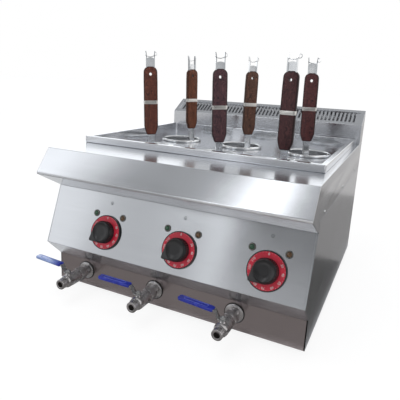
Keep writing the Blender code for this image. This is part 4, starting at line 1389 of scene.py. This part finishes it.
class COOKER_OT_levers(bpy.types.Operator):
    """Bend the levers and dip their blue sleeves"""

    bl_idname = "cooker.levers"
    bl_label = "Levers"

    def execute(self, context):
        settings = context.scene.cooker_drains
        metal = shared("lever_plate", metal_look, (0.50, 0.50, 0.50), 0.26)
        vinyl = plastic_look("dipped_vinyl", tuple(settings.sleeve), 0.26, 0.5, 0.18, 500.0, 0.0001)
        # Lighter blue for the ridge loop: a painted highlight along it.
        ridge_highlight = plastic_look("vinyl_ridge_highlight", tuple(settings.ridge_highlight), 0.30, 0.4, 0.1, 500.0, 0.0001)
        tip_highlight = tip_highlight_look("vinyl_tip_highlight", tuple(settings.sleeve), tuple(settings.tip_highlight))
        seat = 0.0173
        for column in columns:
            place = lever_frame(column)
            body = column + "_drain_lever"
            rise = seat + 0.0147
            path = [
                (-0.0920, rise), (-0.0185, rise), (-0.0165, rise - 0.0008),
                (-0.0095, seat + 0.0009), (-0.0075, seat), (0.0058, seat),
            ]
            outline = path + [(x, z + 0.002) for x, z in reversed(path)]
            side = place @ Matrix.Rotation(math.radians(90.0), 4, "X")
            strip = Shape()
            strip.prism(outline, -0.0058, 0.0058, side)
            plate = rounded(strip.piece("plate", (metal,)), 0.0005, 2)
            stem = Shape()
            pin = [(0.0, 0.0115), (0.0029, 0.0115), (0.0029, 0.0252), (0.0023, 0.0262), (0.0, 0.0262)]
            stem.lathe(pin, place, 0, 24)
            washer = [(0.0, seat + 0.002), (0.0068, seat + 0.002)]
            washer += [(0.0068, seat + 0.0027), (0.0, seat + 0.0027)]
            stem.lathe(washer, place, 0, 32)
            stem.prism(hexagon(0.0059), seat + 0.0027, seat + 0.0069, place, 0)
            nut = rounded(stem.piece("nut", (metal,)), 0.0004, 2)
            made = joined("dressed_lever_" + column, [plate, nut])
            settle(made, body, "valve_steel", "valve_lever_" + column)
            middle = rise + 0.001
            low, high = -0.0997, -0.0191
            deep = 0.0033
            shape = Shape()
            flat = place @ at(0.0, 0.0, middle)
            shape.prism(round_box(low, high, 0.0082, 0.0052, 6), -deep, deep, flat)
            # The left sleeve's lighter tip is a painted highlight.
            skin = tip_highlight if column == "left" else vinyl
            sleeve = rounded(shape.piece("sleeve", (skin,)), 0.0020, 5)
            ridge = Shape()
            inset = 0.014
            ring = round_box(low + inset, high - inset, 0.0042, 0.002, 4)
            loop = [flat @ Vector((x, y, deep - 0.0002)) for x, y in ring]
            ridge.tube(loop, 0.00060, closed=True, sides=8)
            made = joined("dressed_sleeve_" + column, [sleeve, ridge.piece("ridge", (ridge_highlight,))])
            settle(made, body, "lever_blue", "lever_sleeve_" + column)
        return {"FINISHED"}


class COOKER_OT_fittings(bpy.types.Operator):
    """Finish the pipes, heaters, electrics and feet"""

    bl_idname = "cooker.fittings"
    bl_label = "Fittings"

    def execute(self, context):
        pipe = metal_look("pipe_metal", (0.44, 0.43, 0.41), 0.36)
        heater = metal_look("heater_tube", (0.30, 0.27, 0.25), 0.42, 0.3)
        cream = plastic_look("control_case", (0.70, 0.68, 0.62), 0.5)
        black = plastic_look("gland_nylon", (0.045, 0.045, 0.045), 0.5)
        rubber = plastic_look("foot_moulding", (0.028, 0.028, 0.028), 0.8)
        repaint(["drain_pipe_" + column for column in columns], pipe)
        repaint(["heater_" + column for column in columns], heater)
        repaint(["thermostat_" + column for column in columns] + ["terminal_block"], cream)
        repaint(["cable_gland"], black)
        repaint([name for name in cad if name.startswith("foot_")], rubber)
        return {"FINISHED"}


# Stage


def area_lamp(name, place, target, width, height, power, colour=(1.0, 1.0, 1.0)):
    """Soft rectangular lamp aimed at a target."""
    data = bpy.data.lights.new(name, "AREA")
    data.shape = "RECTANGLE"
    data.size = width
    data.size_y = height
    data.energy = power
    data.color = colour
    made = linked(name, data)
    made.location = place
    made.rotation_euler = (Vector(target) - Vector(place)).to_track_quat("-Z", "Y").to_euler()
    made.visible_glossy = False


def glow_look(name, level, colour):
    """Even glow of a studio card."""
    look = bpy.data.materials.new(name)
    look.use_nodes = True
    tree = look.node_tree
    tree.nodes.clear()
    glow = add_node(tree, "ShaderNodeEmission", (("Color", (*colour, 1.0)), ("Strength", level)))
    out = tree.nodes.new("ShaderNodeOutputMaterial")
    tree.links.new(glow.outputs[0], out.inputs[0])
    return look


def card(name, radius, side_deg, rise_deg, level, colour=(1.0, 1.0, 1.0)):
    """Curved glowing card of the studio, between two headings and two heights, unseen by the camera."""
    middle = Vector((0.0, -0.2, 0.2))
    steps = 10
    points = []
    for row in range(steps + 1):
        rise = math.radians(rise_deg[0] + (rise_deg[1] - rise_deg[0]) * row / steps)
        for column in range(steps + 1):
            turn = math.radians(side_deg[0] + (side_deg[1] - side_deg[0]) * column / steps)
            out = Vector((math.cos(turn) * math.cos(rise), math.sin(turn) * math.cos(rise), math.sin(rise)))
            points.append(middle + out * radius)
    faces = []
    for row in range(steps):
        for column in range(steps):
            first = row * (steps + 1) + column
            faces.append((first, first + 1, first + steps + 2, first + steps + 1))
    made = add_object(name, points, faces, (glow_look(name, level, colour),))
    made.visible_camera = False
    made.visible_shadow = False


def flat_card(name, near, far, height, level):
    """Grey card lying on the floor, seen only in reflections."""
    corners = (near, (far[0], near[1]), far, (near[0], far[1]))
    points = [(x, y, height) for x, y in corners]
    made = add_object(name, points, [(0, 1, 2, 3)], (glow_look(name, level, (1.0, 0.98, 0.97)),))
    made.visible_camera = False
    made.visible_shadow = False
    made.visible_diffuse = False


class COOKER_OT_stage(bpy.types.Operator):
    """Set the pale floor, the soft lamps and the camera"""

    bl_idname = "cooker.stage"
    bl_label = "Stage"

    def execute(self, context):
        settings = context.scene.cooker_stage
        scene = context.scene
        scene.view_settings.view_transform = "Standard"
        low = cad_corners[0][2]
        reach = 30.0
        points = [(-reach, -reach, low), (reach, -reach, low), (reach, reach, low), (-reach, reach, low)]
        look, tree, shader = new_look("floor_paint")
        place = add_node(tree, "ShaderNodeTexCoord").outputs["Object"]
        grain = noise(tree, place, 3.0)
        coloured(tree, shader, grain, 0.3, 0.7, tinted(settings.floor, 0.99), tinted(settings.floor, 1.0))
        shader.inputs["Roughness"].default_value = 0.9
        shader.inputs["Specular IOR Level"].default_value = 0.1
        path = tree.nodes.new("ShaderNodeLightPath")
        links = (("Color", (1.0, 1.0, 1.0, 1.0)), ("Strength", settings.glow))
        glow = add_node(tree, "ShaderNodeEmission", links)
        share = math_node(tree, "MULTIPLY", path.outputs["Is Camera Ray"], 0.80)
        links = ((0, share), (1, shader.outputs[0]), (2, glow.outputs[0]))
        blend = add_node(tree, "ShaderNodeMixShader", links)
        tree.links.new(blend.outputs[0], tree.nodes["Material Output"].inputs[0])
        add_object("floor", points, [(0, 1, 2, 3)], (look,))

        world = bpy.data.worlds.new("studio")
        world.use_nodes = True
        scene.world = world
        tree = world.node_tree
        tree.nodes.clear()
        path = tree.nodes.new("ShaderNodeLightPath")
        seen = math_node(tree, "MAXIMUM", path.outputs["Is Camera Ray"], path.outputs["Is Glossy Ray"])
        seen = math_node(tree, "MAXIMUM", seen, path.outputs["Is Transmission Ray"])
        links = (("Color", (0.97, 0.98, 1.0, 1.0)), ("Strength", settings.room))
        room = add_node(tree, "ShaderNodeBackground", links)
        links = (("Color", (1.0, 1.0, 1.0, 1.0)), ("Strength", 1.0))
        white = add_node(tree, "ShaderNodeBackground", links)
        links = ((0, seen), (1, room.outputs[0]), (2, white.outputs[0]))
        blend = add_node(tree, "ShaderNodeMixShader", links)
        out = tree.nodes.new("ShaderNodeOutputWorld")
        tree.links.new(blend.outputs[0], out.inputs[0])

        cards = (
            ("card_back_right", (84.0, 105.0), (2.0, 40.0), 1.35),
            ("card_back_middle", (105.0, 117.0), (2.0, 40.0), 0.62),
            ("card_back_left", (117.0, 150.0), (2.0, 40.0), 1.40),
            ("card_back_high", (84.0, 150.0), (40.0, 86.0), 0.42),
            ("card_left", (150.0, 203.0), (-2.0, 80.0), 0.35),
            ("card_left_bright", (203.0, 214.0), (27.0, 62.0), 1.65),
            ("card_front_high", (214.0, 240.5), (27.0, 80.0), 0.33),
            ("card_right_bright", (240.5, 249.5), (27.0, 80.0), 3.0),
            ("card_right_high", (249.5, 330.0), (27.0, 80.0), 0.36),
            ("card_panel_left", (203.0, 232.0), (-2.0, 27.0), 1.05),
            ("card_panel_middle", (232.0, 245.0), (-2.0, 27.0), 0.62),
            ("card_panel_band", (245.0, 248.0), (-2.0, 27.0), 0.45),
            ("card_panel_gap", (248.0, 251.5), (-2.0, 27.0), 0.95),
            ("card_panel_right", (251.5, 330.0), (-2.0, 17.0), 0.50),
            ("card_panel_dark", (251.5, 330.0), (17.0, 27.0), 0.12),
        )
        for name, side_deg, rise_deg, level in cards:
            card(name, 14.0, side_deg, rise_deg, level, (0.95, 0.975, 1.0))
        mats = (
            ("mat_front", (-0.9, -1.5), (0.9, -0.31), 0.26),
            ("mat_rim", (-0.6, -2.9), (0.35, -1.6), 1.9),
            ("mat_far", (-6.0, -12.0), (1.5, -2.9), 0.72),
            ("mat_side_near", (0.31, -0.40), (1.2, 0.25), 0.07),
            ("mat_side", (0.31, 0.25), (2.0, 1.1), 0.25),
            ("mat_side_far", (0.31, 1.1), (3.0, 9.0), 0.52),
        )
        for name, near, far, level in mats:
            flat_card(name, near, far, low + small, level)
        area_lamp("lamp_top", (-0.6, -0.9, 2.6), (0.0, 0.0, 0.2), 1.8, 1.8, 26.0)

        data = bpy.data.cameras.new("camera")
        data.sensor_width = 36.0
        data.lens = settings.focal
        data.shift_x = 0.05215
        data.shift_y = -0.053625
        data.clip_end = 200.0
        camera = linked("camera", data)
        right = (0.88567, 0.46250, 0.04101)
        up = (-0.14087, 0.18349, 0.97288)
        back = (0.44243, -0.86742, 0.22766)
        camera.matrix_world = frame_from(right, up, back, (0.4122, -1.0510, 0.4993))
        scene.camera = camera
        return {"FINISHED"}


class COOKER_PT_panel(bpy.types.Panel):
    """Sizes, colours and steps of the pasta cooker"""

    bl_idname = "COOKER_PT_panel"
    bl_label = "Pasta cooker"
    bl_space_type = "VIEW_3D"
    bl_region_type = "UI"
    bl_category = "Pasta cooker"

    def draw(self, context):
        for title, group, steps in layout_rows:
            box = self.layout.box()
            box.label(text=title)
            settings = getattr(context.scene, group)
            for name in settings.bl_rna.properties.keys():
                if name not in ("rna_type", "name"):
                    box.prop(settings, name)
            for step in steps:
                box.operator(step)


setting_groups = {
    "cooker_sheets": SheetSettings,
    "cooker_baskets": BasketSettings,
    "cooker_grips": GripSettings,
    "cooker_controls": ControlSettings,
    "cooker_drains": DrainSettings,
    "cooker_stage": StageSettings,
}
operators = (
    COOKER_OT_sheets,
    COOKER_OT_grille,
    COOKER_OT_screws,
    COOKER_OT_baskets,
    COOKER_OT_grips,
    COOKER_OT_knobs,
    COOKER_OT_lamps,
    COOKER_OT_valves,
    COOKER_OT_levers,
    COOKER_OT_fittings,
    COOKER_OT_stage,
)
layout_rows = (
    ("Sheets", "cooker_sheets", ("cooker.sheets", "cooker.grille", "cooker.screws")),
    ("Baskets", "cooker_baskets", ("cooker.baskets",)),
    ("Grips", "cooker_grips", ("cooker.grips",)),
    ("Controls", "cooker_controls", ("cooker.knobs", "cooker.lamps")),
    ("Drains", "cooker_drains", ("cooker.valves", "cooker.levers", "cooker.fittings")),
    ("Stage", "cooker_stage", ("cooker.stage",)),
)


def register():
    """Register the settings, the operators and the panel."""
    for name, group in setting_groups.items():
        bpy.utils.register_class(group)
        setattr(bpy.types.Scene, name, bpy.props.PointerProperty(type=group))
    for item in operators + (COOKER_PT_panel,):
        bpy.utils.register_class(item)


def unregister():
    """Take them out again."""
    for item in reversed(operators + (COOKER_PT_panel,)):
        bpy.utils.unregister_class(item)
    for name, group in reversed(setting_groups.items()):
        delattr(bpy.types.Scene, name)
        bpy.utils.unregister_class(group)


def main():
    """Dress the machine and set its studio."""
    register()
    for item in operators:
        section, step = item.bl_idname.split(".")
        getattr(getattr(bpy.ops, section), step)()


if __name__ == "__main__":
    main()
